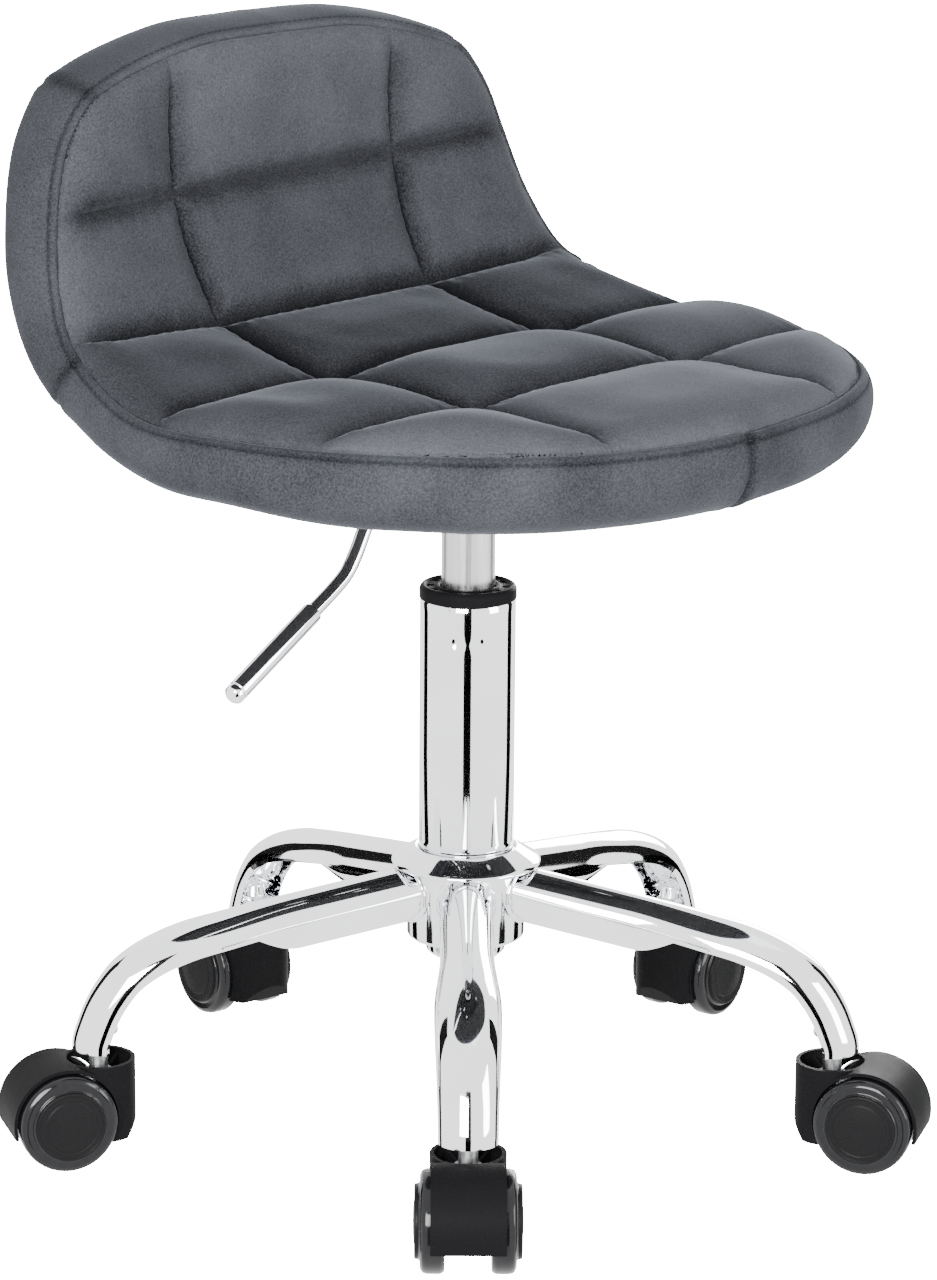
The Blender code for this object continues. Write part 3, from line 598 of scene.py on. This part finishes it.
hood = hoodMesh()
stem = meshFrom(latheMesh([(0, 34.4), (4.9, 34.4), (4.9, 44.5), (7.2, 44.8), (7.2, 47.2), (4.9, 47.6),
                           (4.9, 72.6),
                           (3.6, 74.2), (0, 74.2)], 48, 0.4), "stem")
wheels = {"inner": wheelMeshes(-1), "outer": wheelMeshes(1)}
for k, turn in enumerate(legTurns):
    number = k + 1
    place = Matrix.Rotation(turn, 4, "Z") @ Matrix.Translation((casterValues["reach"] * mm, 0, 0))
    atAxle = place @ Matrix.Translation((casterValues["trail"] * mm, 0, casterValues["wheel"] * mm))
    addPiece(f"hood{number}", moved(hood, place), blackPlastic, f"caster_{number}",
             [f"caster_hood_{number}"])
    addPiece(f"stem{number}", moved(stem, place), zincSteel, f"caster_{number}",
             [f"caster_stem_{number}"])
    for name, (rim, cap) in wheels.items():
        body = f"wheel_{name}_{number}"
        addPiece(f"wheelRim_{name}_{number}", moved(rim, atAxle), glossPlastic, body,
                 [f"caster_wheel_{name}_{number}"])
        addPiece(f"wheelCap_{name}_{number}", moved(cap, atAxle), capPlastic, body)
print("casters made")


# Seat geometry

seatProfile = [(131.5, 563), (131, 525), (127.5, 490), (118, 455), (97, 426), (60, 410.5),
               (18, 405.2), (-35, 403.6), (-95, 401.8), (-150, 399), (-182, 395.5)]
seatOutline = [(0, 0), (2.5, 66), (20, 137), (40, 158), (66, 169.5), (110, 182), (145, 191.5), (180, 202),
               (215, 210), (245, 213), (303, 204.5), (350, 180), (395, 133), (419, 71), (427.5, 0)]
edgeThickness = [(0, 0.96), (90, 0.94), (165, 0.72), (250, 0.8), (340, 0.92), (427.5, 0.98)]
edgeRaise = [(0, 3.5), (100, 6), (150, 4), (230, -2.5), (330, -1), (427.5, 0)]
seatLength = chordLength(seatProfile)
outlineLength = chordLength(seatOutline)
outlineTable = splineAt(seatOutline, np.linspace(0, outlineLength, 3000))


def halfWidth(down):
    return np.interp(down, outlineTable[:, 0], outlineTable[:, 1])


def seatPoints(down, across, depth):
    # Points on the seat: millimetres down its profile, across it and below its face; metres out
    down, across, depth = np.broadcast_arrays(*[np.asarray(v, float) for v in (down, across, depth)])
    inside = np.clip(down, 0, seatLength)
    here = splineAt(seatProfile, inside)
    step = splineAt(seatProfile, inside + 2) - splineAt(seatProfile, inside - 2)
    step /= np.linalg.norm(step, axis=-1, keepdims=True)
    rim = np.minimum(np.abs(across) / halfWidth(np.clip(down, 20, 395)), 1) ** 2
    depth = depth * (1 + (eased(edgeThickness, down) - 1) * rim) - eased(edgeRaise, down) * rim
    y = here[..., 0] + step[..., 0] * (down - inside) - step[..., 1] * depth
    z = here[..., 1] + step[..., 1] * (down - inside) + step[..., 0] * depth
    return np.stack([across, y, z + datum / mm], axis=-1) * mm


def edgeOf(share):
    # Outline point (down, across) and outward normal; share runs 0 to 1 from the top to the front
    at = np.asarray(share, float) * outlineLength
    step = splineAt(seatOutline, at + 1) - splineAt(seatOutline, at - 1)
    step /= np.linalg.norm(step, axis=-1, keepdims=True)
    return splineAt(seatOutline, at), np.stack([-step[..., 1], step[..., 0]], axis=-1)


# Lines between the pillows: two lengthwise, four across
gapTable = [(0, 169.9), (73, 169.7), (145, 163.2), (227.6, 173.3), (319, 167.2), (428, 181.9)]
crossRows = [73.0, 145.0, 227.6, 319.0]
crossSlopes = [-0.032, -0.008, 0.0, 0.0]  # how far each line runs down for each millimetre across
columnCells, rowCells = 3, 5
topCorner, frontCorner = 0.235, 0.80  # shares of the outline where the face's grid has its corners


def coons(u, v):
    # Face grid from a square: u and v from 0 to 1, gives (down, across)
    def side(share):
        return edgeOf(share)[0]

    right = side(topCorner + (frontCorner - topCorner) * v)
    left = right * (1, -1)
    topShare = (2 * u - 1) * topCorner
    top = side(np.abs(topShare)) * np.stack([np.ones_like(u), np.sign(topShare)], -1)
    frontShare = 1 - (1 - frontCorner) * np.abs(2 * u - 1)
    front = side(frontShare) * np.stack([np.ones_like(u), np.sign(2 * u - 1)], -1)
    cornerTop = side(np.array(topCorner))
    cornerFront = side(np.array(frontCorner))
    u, v = u[..., None], v[..., None]
    flip = np.array((1, -1))
    bilinear = ((1 - u) * (1 - v) * cornerTop * flip + u * (1 - v) * cornerTop
                + (1 - u) * v * cornerFront * flip + u * v * cornerFront)
    return (1 - u) * left + u * right + (1 - v) * top + v * front - bilinear


def denseCoons(count=241):
    v, u = np.meshgrid(np.linspace(0, 1, count), np.linspace(0, 1, count), indexing="ij")
    grid = coons(u, v)
    seamU = []  # for each v, the u of the right-hand lengthwise line
    for row in grid:
        off = row[:, 1] - np.interp(row[:, 0], *zip(*gapTable)) / 2
        k = int(np.argmax(off > 0))
        seamU.append((k - 1 + off[k - 1] / (off[k - 1] - off[k])) / (count - 1))
    seamV = [[np.interp(line, grid[:, k, 0] - slope * grid[:, k, 1], np.linspace(0, 1, count))
              for k in range(count)]
             for line, slope in zip(crossRows, crossSlopes)]
    return np.linspace(0, 1, count), np.array(seamU), np.array(seamV)


alongTable, seamU, seamV = denseCoons()


def cellMap(t, knots):
    # A cell coordinate (0 to the number of cells) to a place between the knots
    cell = np.clip(t.astype(int), 0, len(knots) - 2)
    knots = np.array(np.broadcast_arrays(*knots, t)[:-1])
    low = np.take_along_axis(knots, cell[None], 0)[0]
    high = np.take_along_axis(knots, cell[None] + 1, 0)[0]
    return low + (high - low) * (t - cell)


def faceGrid(columns, rows):
    # Grid lines that follow the seams: cell coordinates in, (down, across) out
    b, a = np.meshgrid(rows, columns, indexing="ij")
    u, v = a / columnCells, b / rowCells
    for _ in range(8):
        lines = [np.interp(u, alongTable, line) for line in seamV]
        v = cellMap(b, [0.0 * u] + lines + [1.0 + 0 * u])
        right = np.interp(v, alongTable, seamU)
        u = cellMap(a, [0.0 * v, 1 - right, right, 1.0 + 0 * v])
    return coons(u, v)


pillowValues = {"rise": [10.0, 11.0, 15.0, 16.0, 14.0], "lengthReach": 62.0, "crossReach": 44.0,
                "edgeReach": 38.0,
                "seamDepth": 2.6, "seamWidth": 2.6, "creaseDepth": 3.0, "simulatedShare": 0.8,
                "mostSimulated": 4.0,
                "clothAcross": 30, "clothDown": 19, "clothUneven": 0.04, "rim": 1.4, "pucker": 0.32,
                "puckerWidth": 7.0}


def quarter(distance, reach, power=2.3):
    return (1 - (1 - np.clip(distance / reach, 0, 1)) ** power)


def edgeDistance(down, across):
    # Distance in millimetres from the face's outline
    shape = down.shape
    points = np.stack([down, np.abs(across)], -1).reshape(-1, 2)
    table = outlineTable[::12]
    found = np.empty(len(points))
    for k in range(0, len(points), 4000):
        part = points[k:k + 4000]
        found[k:k + 4000] = np.sqrt(((part[:, None] - table[None]) ** 2).sum(-1)).min(1)
    return found.reshape(shape)


def pillowRise(down, across):
    values = pillowValues
    lengthwise = np.abs(np.abs(across) - np.interp(down, *zip(*gapTable)) / 2)
    crossing = np.min([np.abs(down - slope * across - line) for line, slope in zip(crossRows, crossSlopes)],
                      axis=0)
    edge = edgeDistance(down, across)
    inner = quarter(lengthwise, values["lengthReach"]) ** 0.75 * quarter(crossing,
                                                                         values["crossReach"]) ** 0.75
    nearEdge = quarter(edge, values["edgeReach"], 2.6)
    # Seams run shallower as they come to the rim
    shallow = 1 - smoothStep(0, 34, edge)
    inner = inner + (1 - inner) * shallow * 0.55
    centres = [33, 109, 186, 273, 372]
    return np.interp(down, centres, values["rise"]) * inner * nearEdge, lengthwise, crossing, edge


def gridFaces(rows, columns):
    order = np.arange(rows * columns).reshape(rows, columns)
    quads = np.stack([order[:-1, :-1], order[:-1, 1:], order[1:, 1:], order[1:, :-1]], -1).reshape(-1, 4)
    return order, quads


def clothPuff(points, pinned):
    # Lets the cover puff up between its pinned seams, and gives how far each point went
    rows, columns = pinned.shape
    _, quads = gridFaces(rows, columns)
    mesh = bpy.data.meshes.new("cloth")
    mesh.from_pydata([tuple(p) for p in points.reshape(-1, 3)], [], quads.tolist())
    cover = bpy.data.objects.new("cloth", mesh)
    bpy.context.scene.collection.objects.link(cover)
    group = cover.vertex_groups.new(name="pins")
    group.add([int(k) for k in np.nonzero(pinned.reshape(-1))[0]], 1.0, "REPLACE")
    modifier = cover.modifiers.new("Cloth", "CLOTH")
    settings = modifier.settings
    settings.quality = 6
    settings.mass = 0.25
    settings.tension_stiffness = 12
    settings.compression_stiffness = 12
    settings.shear_stiffness = 6
    settings.bending_stiffness = 12
    settings.vertex_group_mass = "pins"
    settings.use_pressure = True
    settings.uniform_pressure_force = 4.0
    settings.effector_weights.gravity = 0
    modifier.collision_settings.use_collision = False
    modifier.point_cache.frame_start = 1
    modifier.point_cache.frame_end = 20
    scene = bpy.context.scene
    for number in range(1, 21):
        scene.frame_set(number)
    graph = bpy.context.evaluated_depsgraph_get()
    result = cover.evaluated_get(graph).data
    after = np.empty(len(result.vertices) * 3, np.float32)
    result.vertices.foreach_get("co", after)
    scene.frame_set(1)
    bpy.data.objects.remove(cover, do_unlink=True)
    moves = after.reshape(points.shape) - points
    # Foam under the cloth evens out its finest folds
    for _ in range(6):
        around = moves.copy()
        around[1:-1, 1:-1] = (moves[:-2, 1:-1] + moves[2:, 1:-1] + moves[1:-1, :-2] + moves[1:-1, 2:]) / 4
        moves = np.where(pinned[..., None], 0, moves * 0.4 + around * 0.6)
    return moves


def clustered(cells, steps, amount):
    t = np.linspace(0, 1, steps + 1)[:-1]
    t = t - amount * np.sin(math.tau * t) / math.tau
    return np.concatenate([k + t for k in range(cells)] + [[cells]])


def upsampled(field, a, b, fineA, fineB):
    # Bilinear lookup of a field on grid lines (b, a)
    rows = np.stack([np.stack([np.interp(fineA, a, row[:, c]) for row in field]) for c in range(3)], -1)
    return np.stack([np.stack([np.interp(fineB, b, rows[:, k, c]) for k in range(len(fineA))], 1)
                     for c in range(3)], -1)


# Painted light and shade on the seat face. cells: a lightness for each pillow, lighter where light falls and
# darker where pillows lie in shade; crease: painted shade in the seams; rim: a painted highlight along the rim;
# patches: random tone of the pile; changeOver: how near the seams the cells change over
napAndPaintedShadeValues = {"cells": [(0.27, 0.42, 0.36), (0.32, 0.30, 0.32), (0.20, 0.13, 0.17), (0.28, 0.24, 0.44),
                       (0.44, 0.46, 0.56)],
             "crease": -0.22, "rim": 0.05, "patches": 0.06, "changeOver": 0.12}


def addNapAndPaintedShade(mesh, values):
    attribute = mesh.attributes.new("napAndPaintedShade", "FLOAT", "POINT")
    attribute.data.foreach_set("value", np.asarray(values, np.float32).reshape(-1))


def puffedMoves(columns, rows):
    # How far pressure under the cloth moves it, on a coarse grid that is pinned along every seam
    values = pillowValues
    down, across = np.moveaxis(faceGrid(columns, rows), -1, 0)
    rise = pillowRise(down, across)[0]
    start = seatPoints(down, across, -rise)
    onLine = np.zeros(down.shape, bool)
    onLine[::values["clothDown"]] = True
    onLine[:, ::values["clothAcross"]] = True
    unevenness = np.random.default_rng(3).normal(0, values["clothUneven"] * mm, start.shape)
    moves = clothPuff(start + unevenness, onLine)
    size = np.linalg.norm(moves, axis=-1, keepdims=True)
    most = values["mostSimulated"] * mm
    print("cloth moved", round(float(size.max() / mm), 2), "mm at most,",
          round(float(size.mean() / mm), 2), "on average")
    return moves * np.tanh(size / most) * most / np.maximum(size, 1e-9) * values["simulatedShare"]


def closedSheet(top, back):
    # A thick sheet from two grids of points: the faces of each, and a strip round their edges
    order, quads = gridFaces(*top.shape[:2])
    count = order.size
    ring = np.concatenate([order[0, :-1], order[:-1, -1], order[-1, :0:-1], order[:0:-1, 0]])
    sides = np.stack([ring, ring + count, np.roll(ring, -1) + count, np.roll(ring, -1)], -1)
    faces = np.concatenate([quads[:, ::-1], quads + count, sides]).tolist()
    points = np.concatenate([top.reshape(-1, 3), back.reshape(-1, 3)])
    mesh = bpy.data.meshes.new("faceCover")
    mesh.from_pydata([tuple(p) for p in points], [], faces)
    bm = bmesh.new()
    bm.from_mesh(mesh)
    bmesh.ops.recalc_face_normals(bm, faces=bm.faces)
    bm.to_mesh(mesh)
    bm.free()
    mesh.polygons.foreach_set("use_smooth", [True] * len(mesh.polygons))
    return mesh


def paintedPillowShade(columns, rows):
    # Painted light and shade: each pillow gets its own lightness, lighter where light falls on it and darker
    # where it lies in shade, and changes over at the seams
    cells = np.repeat(np.repeat(np.array(napAndPaintedShadeValues["cells"]), 2, axis=0), 2, axis=1)
    near = napAndPaintedShadeValues["changeOver"]
    across = [0] + [k + side * near for k in range(1, columnCells) for side in (-1, 1)] + [columnCells]
    down = [0] + [k + side * near for k in range(1, rowCells) for side in (-1, 1)] + [rowCells]
    shade = np.array([np.interp(columns, across, row) for row in cells])
    return np.array([np.interp(rows, down, shade[:, k]) for k in range(len(columns))]).T


def puckers(down, across, lengthwise, crossing, edge):
    # Small folds that run off the seams
    size, width = pillowValues["pucker"], pillowValues["puckerWidth"]
    offCross = np.sin(across * 0.62 + 2.0 * np.sin(down * 0.05)) * np.exp(-((crossing - 5) / width) ** 2)
    offLong = np.sin(down * 0.66 + 2.0 * np.sin(across * 0.06)) * np.exp(-((lengthwise - 5) / width) ** 2)
    return size * (offCross + offLong) * smoothStep(0, 20, edge)


def faceCover():
    values = pillowValues
    coarse = (np.linspace(0, columnCells, columnCells * values["clothAcross"] + 1),
              np.linspace(0, rowCells, rowCells * values["clothDown"] + 1))
    fine = (clustered(columnCells, 62, 0.7), clustered(rowCells, 38, 0.7))
    moves = upsampled(puffedMoves(*coarse), *coarse, *fine)
    down, across = np.moveaxis(faceGrid(*fine), -1, 0)
    rise, lengthwise, crossing, edge = pillowRise(down, across)
    seam = np.minimum(lengthwise, crossing)
    fade = smoothStep(0, 16, edge) * 0.75 + 0.25
    groove = values["seamDepth"] * np.exp(-(seam / values["seamWidth"]) ** 2) * fade
    crease = values["creaseDepth"] * np.exp(-((down - crossRows[1]) / 7) ** 2) * smoothStep(0, 30, edge)
    rim = values["rim"] * np.exp(-(edge / values["rim"]) ** 2)
    height = rise - groove - crease - rim + puckers(down, across, lengthwise, crossing, edge)
    top = seatPoints(down, across, -height) + moves
    inset = smoothStep(0, 6, edge)[..., None]
    back = seatPoints(down, across, 12.0) * inset
    back += seatPoints(down * 0.99 + 2, across * 0.98, 9.0) * (1 - inset)
    mesh = closedSheet(top, back)
    patches = [noise.noise(Vector(p) * 14) for p in top.reshape(-1, 3)]
    # Painted light and shade: each pillow's own lightness, plus random patches of tone
    shade = paintedPillowShade(*fine) + napAndPaintedShadeValues["patches"] * np.array(patches).reshape(down.shape)
    # Painted shade in the seams
    shade += napAndPaintedShadeValues["crease"] * np.exp(-(seam / 8) ** 2) * fade
    # Painted highlight along the rim, where the velvet rolls over
    shade += napAndPaintedShadeValues["rim"] * np.exp(-(edge / 12) ** 2)
    addNapAndPaintedShade(mesh, np.concatenate([shade.reshape(-1), np.zeros(down.size)]))
    return mesh


face = addPiece("seatFaceCover", faceCover(), velvet, "seat", ["face_pad", "foam_core"])
print("face cover made")


# Side band, its top stitching and the covers behind

bandBack = [(-2.6, 6), (-1.2, 2.6), (0.1, 1.5), (1.1, 0.7), (2.6, 0.9), (4.0, 2.6), (6.1, 8), (7.4, 15),
            (7.7, 22), (7.0, 29),
            (5.0, 35.5), (1.6, 40.4), (-2.8, 43.4), (-7.5, 44.4), (-9.5, 43.2), (-8.0, 40.5), (-2.6, 37)]
bandSeat = [(-2.6, 6), (-1.2, 2.6), (0.1, 1.5), (1.3, 0.7), (3.2, 0.8), (5.0, 2.3), (7.4, 6.6), (8.7, 12),
            (9.0, 17.5), (8.3, 23.5),
            (6.2, 30), (2.0, 36.2), (-5.0, 41.2), (-14, 44.0), (-17, 43.0), (-14, 40.5), (-2.6, 36)]
bandValues = {"stations": 620, "topRise": 4.0, "stitchAt": 4.6, "stitchLength": 3.1, "stitchGap": 1.3,
              "stitchRadius": 0.36, "seams": [-0.99, -0.42, -0.205, 0.205, 0.42], "ripple": 0.35}


def bandRing(share, section):
    # One section of the band. share is from -1 to 1: 0 at the top's middle, 1 and -1 at the front's
    edge, normal = edgeOf(abs(share))
    onSeat = float(smoothStep(140, 230, edge[0]))
    rise = bandValues["topRise"] * max(0.0, -float(normal[0])) ** 2
    back, seat = section
    out = back[:, 0] + (seat[:, 0] - back[:, 0]) * onSeat
    depth = back[:, 1] + (seat[:, 1] - back[:, 1]) * onSeat
    at = edge[None] + normal[None] * out[:, None]
    side = -1.0 if share < 0 else 1.0
    return seatPoints(at[:, 0] - rise * depth / 43.0, at[:, 1] * side, depth)


def denseSection(section, count):
    length = chordLength(section + section[:1])
    return splineAt(section + section[:1], np.linspace(0, length, count, endpoint=False))


def sideBand():
    values = bandValues
    sections = (denseSection(bandBack, 64), denseSection(bandSeat, 64))
    outer = np.array([point[0] > 1.0 for point in sections[0]])
    shares = np.linspace(-1, 1, values["stations"], endpoint=False) + 1e-4
    rings = []
    bandNapAndPaintedShade = []
    for share in shares:
        ring = bandRing(share, sections)
        middle = ring.mean(0)
        outward = ring - middle
        outward /= np.linalg.norm(outward, axis=1, keepdims=True)
        place = np.array([noise.noise(Vector(p) * 22) for p in ring])
        ripple = values["ripple"] * place
        gap = np.array([abs((share - seam + 1) % 2 - 1) * outlineLength for seam in values["seams"]]).min()
        dent = 1.3 * math.exp(-(gap / 1.6) ** 2) - 0.5 * math.exp(-((gap - 5) / 4) ** 2)
        # The stitched line pulls the cloth in
        depths = np.linspace(0, 1, len(ring))
        stitch = 0.55 * np.exp(-((depths * chordLength(bandBack + bandBack[:1]) - stitchPlace()) / 1.3) ** 2)
        rings.append([Vector(p) for p in ring + outward * ((ripple - dent * outer - stitch) * mm)[:, None]])
        # Painted light and shade: lighter at the top's middle where light falls, painted shade at the seams and
        # along the stitched line, with random tone from place
        bandNapAndPaintedShade.append(0.27 + 0.16 * math.exp(-(share / 0.16) ** 2) + 0.10 * place - 0.16
                    * math.exp(-(gap / 4) ** 2) - 0.3 * stitch)
    mesh = meshFrom(loftMesh(rings, True), "band", 180)
    found = {}
    for ring, napAndPaintedShade in zip(rings, bandNapAndPaintedShade):
        for point, value in zip(ring, napAndPaintedShade):
            found[tuple(round(c, 5) for c in point)] = value
    addNapAndPaintedShade(mesh, [found.get(tuple(round(c, 5) for c in v.co), 0.1) for v in mesh.vertices])
    return mesh


def stitchPlace():
    return chordLength(bandBack[:4]) + bandValues["stitchAt"]


def stitching():
    # One mesh of short thread loops along the band's stitched line
    values = bandValues
    section = (denseSection(bandBack, 400), denseSection(bandSeat, 400))
    pick = int(stitchPlace() / chordLength(bandBack + bandBack[:1]) * 400)
    both = tuple(s[[pick - 3, pick, pick + 3]] for s in section)
    shares = np.linspace(-1, 1, 4000, endpoint=False) + 1e-5
    line = np.array([bandRing(share, both) for share in shares])
    middle = line[:, 1]
    across = line[:, 2] - line[:, 0]
    lengths = np.concatenate([[0], np.cumsum(np.linalg.norm(np.diff(middle, axis=0), axis=1))]) / mm
    pitch = values["stitchLength"] + values["stitchGap"]
    bm = bmesh.new()
    for k in range(int(lengths[-1] / pitch)):
        places = k * pitch + np.linspace(0, values["stitchLength"], 6)
        points = np.stack([np.interp(places, lengths, middle[:, c]) for c in range(3)], -1)
        side = np.array([np.interp(places[2], lengths, across[:, c]) for c in range(3)])
        run = points[-1] - points[0]
        normal = np.cross(run, side)
        normal /= np.linalg.norm(normal)
        arch = np.array([-0.5, 0.10, 0.22, 0.22, 0.10, -0.5]) - 0.30
        points = points + normal * (arch * mm)[:, None]
        rings = []
        run = Vector(run).normalized()
        up = Vector(normal)
        other = run.cross(up)
        for point in points:
            rings.append([Vector(point) + (up * math.cos(t) * 0.8 + other * math.sin(t))
                          * values["stitchRadius"] * mm
                          for t in (math.tau * j / 6 for j in range(6))])
        rows = [[bm.verts.new(p) for p in ring] for ring in rings]
        for row, after in zip(rows, rows[1:]):
            for j in range(6):
                bm.faces.new([row[j - 1], row[j], after[j], after[j - 1]])
        bm.faces.new(rows[0])
        bm.faces.new(rows[-1])
    return meshFrom(bm, "stitches", 180)


band = addPiece("sideBand", sideBand(), velvet, "seat", ["boxing_band"])
addPiece("topStitching", stitching(), threadLook, "seat")
print("side band made")


def coverSheet(start, stop, inset, depth, thick, bulge, name):
    # A padded sheet over the back or the underside, between two places down the profile
    first, last = max(start, inset + 1.6), min(stop, seatLength - inset - 1.6)
    rows = first + (last - first) * (1 - np.cos(np.linspace(0, math.pi, 71))) / 2
    fractions = np.sin(np.linspace(-math.pi / 2, math.pi / 2, 61))
    edge, normal = edgeOf(np.linspace(0, 1, 1500))
    inner = edge - normal * inset
    order = np.argsort(inner[:, 0])
    widths = np.interp(rows, inner[order, 0], inner[order, 1])
    down = rows[:, None] + 0 * fractions[None]
    across = widths[:, None] * fractions[None]
    ends = np.minimum(1, np.minimum(rows - first + 2, last - rows + 2) / 40) ** 0.5
    fullness = ((1 - fractions[None] ** 4) * ends[:, None])
    outside = seatPoints(down, across, depth + bulge * fullness - 0.8 * (1 - fullness) ** 6)
    inside = seatPoints(down, across, depth - thick)
    rings = [[Vector(p) for p in np.concatenate([a, b[::-1]])] for a, b in zip(outside, inside)]
    mesh = meshFrom(loftMesh(rings), name, 60)
    return mesh


back = coverSheet(0, 171.7, 8.6, 42.8, 6.0, 1.6, "backPanel")
addNapAndPaintedShade(back, [0.12 + 0.12 * noise.noise(v.co * 14) for v in back.vertices])
backPanel = addPiece("backPanel", back, velvet, "seat", ["back_cover", "seat_shell"])
under = coverSheet(172.0, 428, 15.5, 42.9, 4.0, 0.8, "underCover")
addPiece("underCover", under, lining, "seat", ["bottom_cover"])
print("covers made")


# CAD pieces that stay

looks = {"seat_plate": blackPaint, "plate_bolt": zincSteel, "valve_button": brass,
         "rubber_bumper": rubberLook,
         "cylinder_seal": rubberLook, "piston_rod": satinSteel, "retaining_clip": zincSteel,
         "thrust_bearing": zincSteel, "caster_axle": zincSteel}
for name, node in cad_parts.items():
    if node.hide_render:
        continue
    found = [look for start, look in looks.items() if name.startswith(start)]
    node.data.materials.clear()
    node.data.materials.append(found[0] if found else zincSteel)
    node.data.polygons.foreach_set("use_smooth", [True] * len(node.data.polygons))
    node.data.set_sharp_from_angle(angle=math.radians(35))
    if not found:
        print("no look for", name)


# Studio and camera

studioValues = {"white": 30.0, "room": 2.4, "light": 0.32, "key": 105.0, "fill": 46.0, "top": 4.0, "rear": 60.0}


def card(name, centre, target, width, height, colour, strength, visible=False):
    bm = bmesh.new()
    bmesh.ops.create_grid(bm, x_segments=1, y_segments=1, size=0.5)
    bm.transform(Matrix.Diagonal((width, height, 1, 1)))
    mesh = bpy.data.meshes.new(name)
    bm.to_mesh(mesh)
    bm.free()
    piece = bpy.data.objects.new(name, mesh)
    bpy.context.scene.collection.objects.link(piece)
    look = (Vector(target) - Vector(centre)).to_track_quat("Z", "Y").to_matrix().to_4x4()
    piece.matrix_world = Matrix.Translation(centre) @ look
    material = bpy.data.materials.new(name)
    material.use_nodes = True
    shader = material.node_tree.nodes["Principled BSDF"]
    shader.inputs["Base Color"].default_value = (*colour, 1)
    shader.inputs["Roughness"].default_value = 1.0
    shader.inputs["Specular IOR Level"].default_value = 0.0
    shader.inputs["Emission Color"].default_value = (1, 1, 1, 1)
    shader.inputs["Emission Strength"].default_value = strength
    mesh.materials.append(material)
    piece.visible_camera = visible
    piece.visible_shadow = False
    piece.visible_diffuse = False
    return piece


def areaLight(name, centre, target, size, power):
    light = bpy.data.lights.new(name, "AREA")
    light.shape = "RECTANGLE"
    light.size, light.size_y = size
    light.energy = power
    lamp = bpy.data.objects.new(name, light)
    bpy.context.scene.collection.objects.link(lamp)
    look = (Vector(target) - Vector(centre)).to_track_quat("-Z", "Y").to_matrix().to_4x4()
    lamp.matrix_world = Matrix.Translation(centre) @ look
    lamp.visible_camera = False
    return lamp


cameraValues = {"place": (-1.7934, -1.5263, 0.8633), "turn": 49.61, "down": 14.34, "roll": -0.45,
                "lens": 131.4}


def addCamera():
    values = cameraValues
    turn, down, roll = [math.radians(values[k]) for k in ("turn", "down", "roll")]
    forward = Vector((math.sin(turn) * math.cos(down), math.cos(turn) * math.cos(down), -math.sin(down)))
    right = Vector((math.cos(turn), -math.sin(turn), 0))
    below = forward.cross(right)
    right2 = right * math.cos(roll) + below * math.sin(roll)
    below2 = below * math.cos(roll) - right * math.sin(roll)
    data = bpy.data.cameras.new("camera")
    data.lens = values["lens"]
    data.sensor_width = 36
    data.dof.use_dof = False
    camera = bpy.data.objects.new("camera", data)
    bpy.context.scene.collection.objects.link(camera)
    axes = Matrix((right2, -below2, -forward)).transposed().to_4x4()
    camera.matrix_world = Matrix.Translation(values["place"]) @ axes
    bpy.context.scene.camera = camera
    return right, forward


right, forward = addCamera()
level = Vector((forward.x, forward.y, 0)).normalized()


def placed(side, ahead, height):
    # A point by its place to the camera's right, beyond the stool, and above the floor
    return right * side + level * ahead + Vector((0, 0, height))


def addWorld():
    # The camera sees plain white, cloth gets even soft light, and metal sees an even pale room
    world = bpy.data.worlds.new("studio")
    bpy.context.scene.world = world
    world.use_nodes = True
    tree = world.node_tree
    path = tree.nodes.new("ShaderNodeLightPath").outputs

    def background(strength):
        made = tree.nodes.new("ShaderNodeBackground")
        made.inputs["Color"].default_value = grey(1)
        made.inputs["Strength"].default_value = strength
        return made.outputs[0]

    def either(share, without, having):
        made = tree.nodes.new("ShaderNodeMixShader")
        for socket, value in zip(made.inputs, (share, without, having)):
            tree.links.new(value, socket)
        return made.outputs[0]

    lit = either(path["Is Glossy Ray"], background(studioValues["light"]), background(studioValues["room"]))
    seen = either(path["Is Camera Ray"], lit, background(studioValues["white"]))
    tree.links.new(seen, tree.nodes["World Output"].inputs["Surface"])


addWorld()

# Dark flags stand round the stool, seen only in polished metal: turn in degrees from the camera's side
flagValues = {"turns": [0, 120, -120], "reach": 2.2, "width": 0.7, "height": 3.0, "middle": 0.2}


def addFlags():
    values = flagValues
    for number, degrees in enumerate(values["turns"], 1):
        turn = math.radians(degrees)
        centre = placed(values["reach"] * math.sin(turn), -values["reach"] * math.cos(turn), values["middle"])
        card(f"flag{number}", centre, (0, 0, values["middle"]), values["width"], values["height"],
             (0.01, 0.01, 0.01), 0.0)


addFlags()


def addFloor():
    floor = card("floor", (0, 0, -0.0005), (0, 0, 1), 40, 40, (0.8, 0.8, 0.8), 0.0, True)
    floor.visible_shadow = floor.visible_diffuse = True
    floor.visible_glossy = False
    tree = floor.data.materials[0].node_tree
    glow = tree.nodes.new("ShaderNodeEmission")
    glow.inputs["Strength"].default_value = studioValues["white"]
    mix = tree.nodes.new("ShaderNodeMixShader")
    path = tree.nodes.new("ShaderNodeLightPath")
    tree.links.new(path.outputs["Is Camera Ray"], mix.inputs[0])
    tree.links.new(tree.nodes["Principled BSDF"].outputs[0], mix.inputs[1])
    tree.links.new(glow.outputs[0], mix.inputs[2])
    tree.links.new(mix.outputs[0], tree.nodes["Material Output"].inputs["Surface"])


addFloor()

areaLight("key", placed(-0.5, -2.0, 0.82), (0, 0, 0.4), (1.0, 0.9), studioValues["key"])
areaLight("fill", placed(1.9, -0.9, 0.72), (0, 0, 0.40), (0.9, 1.2), studioValues["fill"])
areaLight("top", placed(0.3, 0.4, 2.4), (0, 0, 0.4), (1.6, 1.2), studioValues["top"])
areaLight("rear", placed(0.7, 2.0, 0.7), (0, 0, 0.45), (1.2, 0.8), studioValues["rear"])
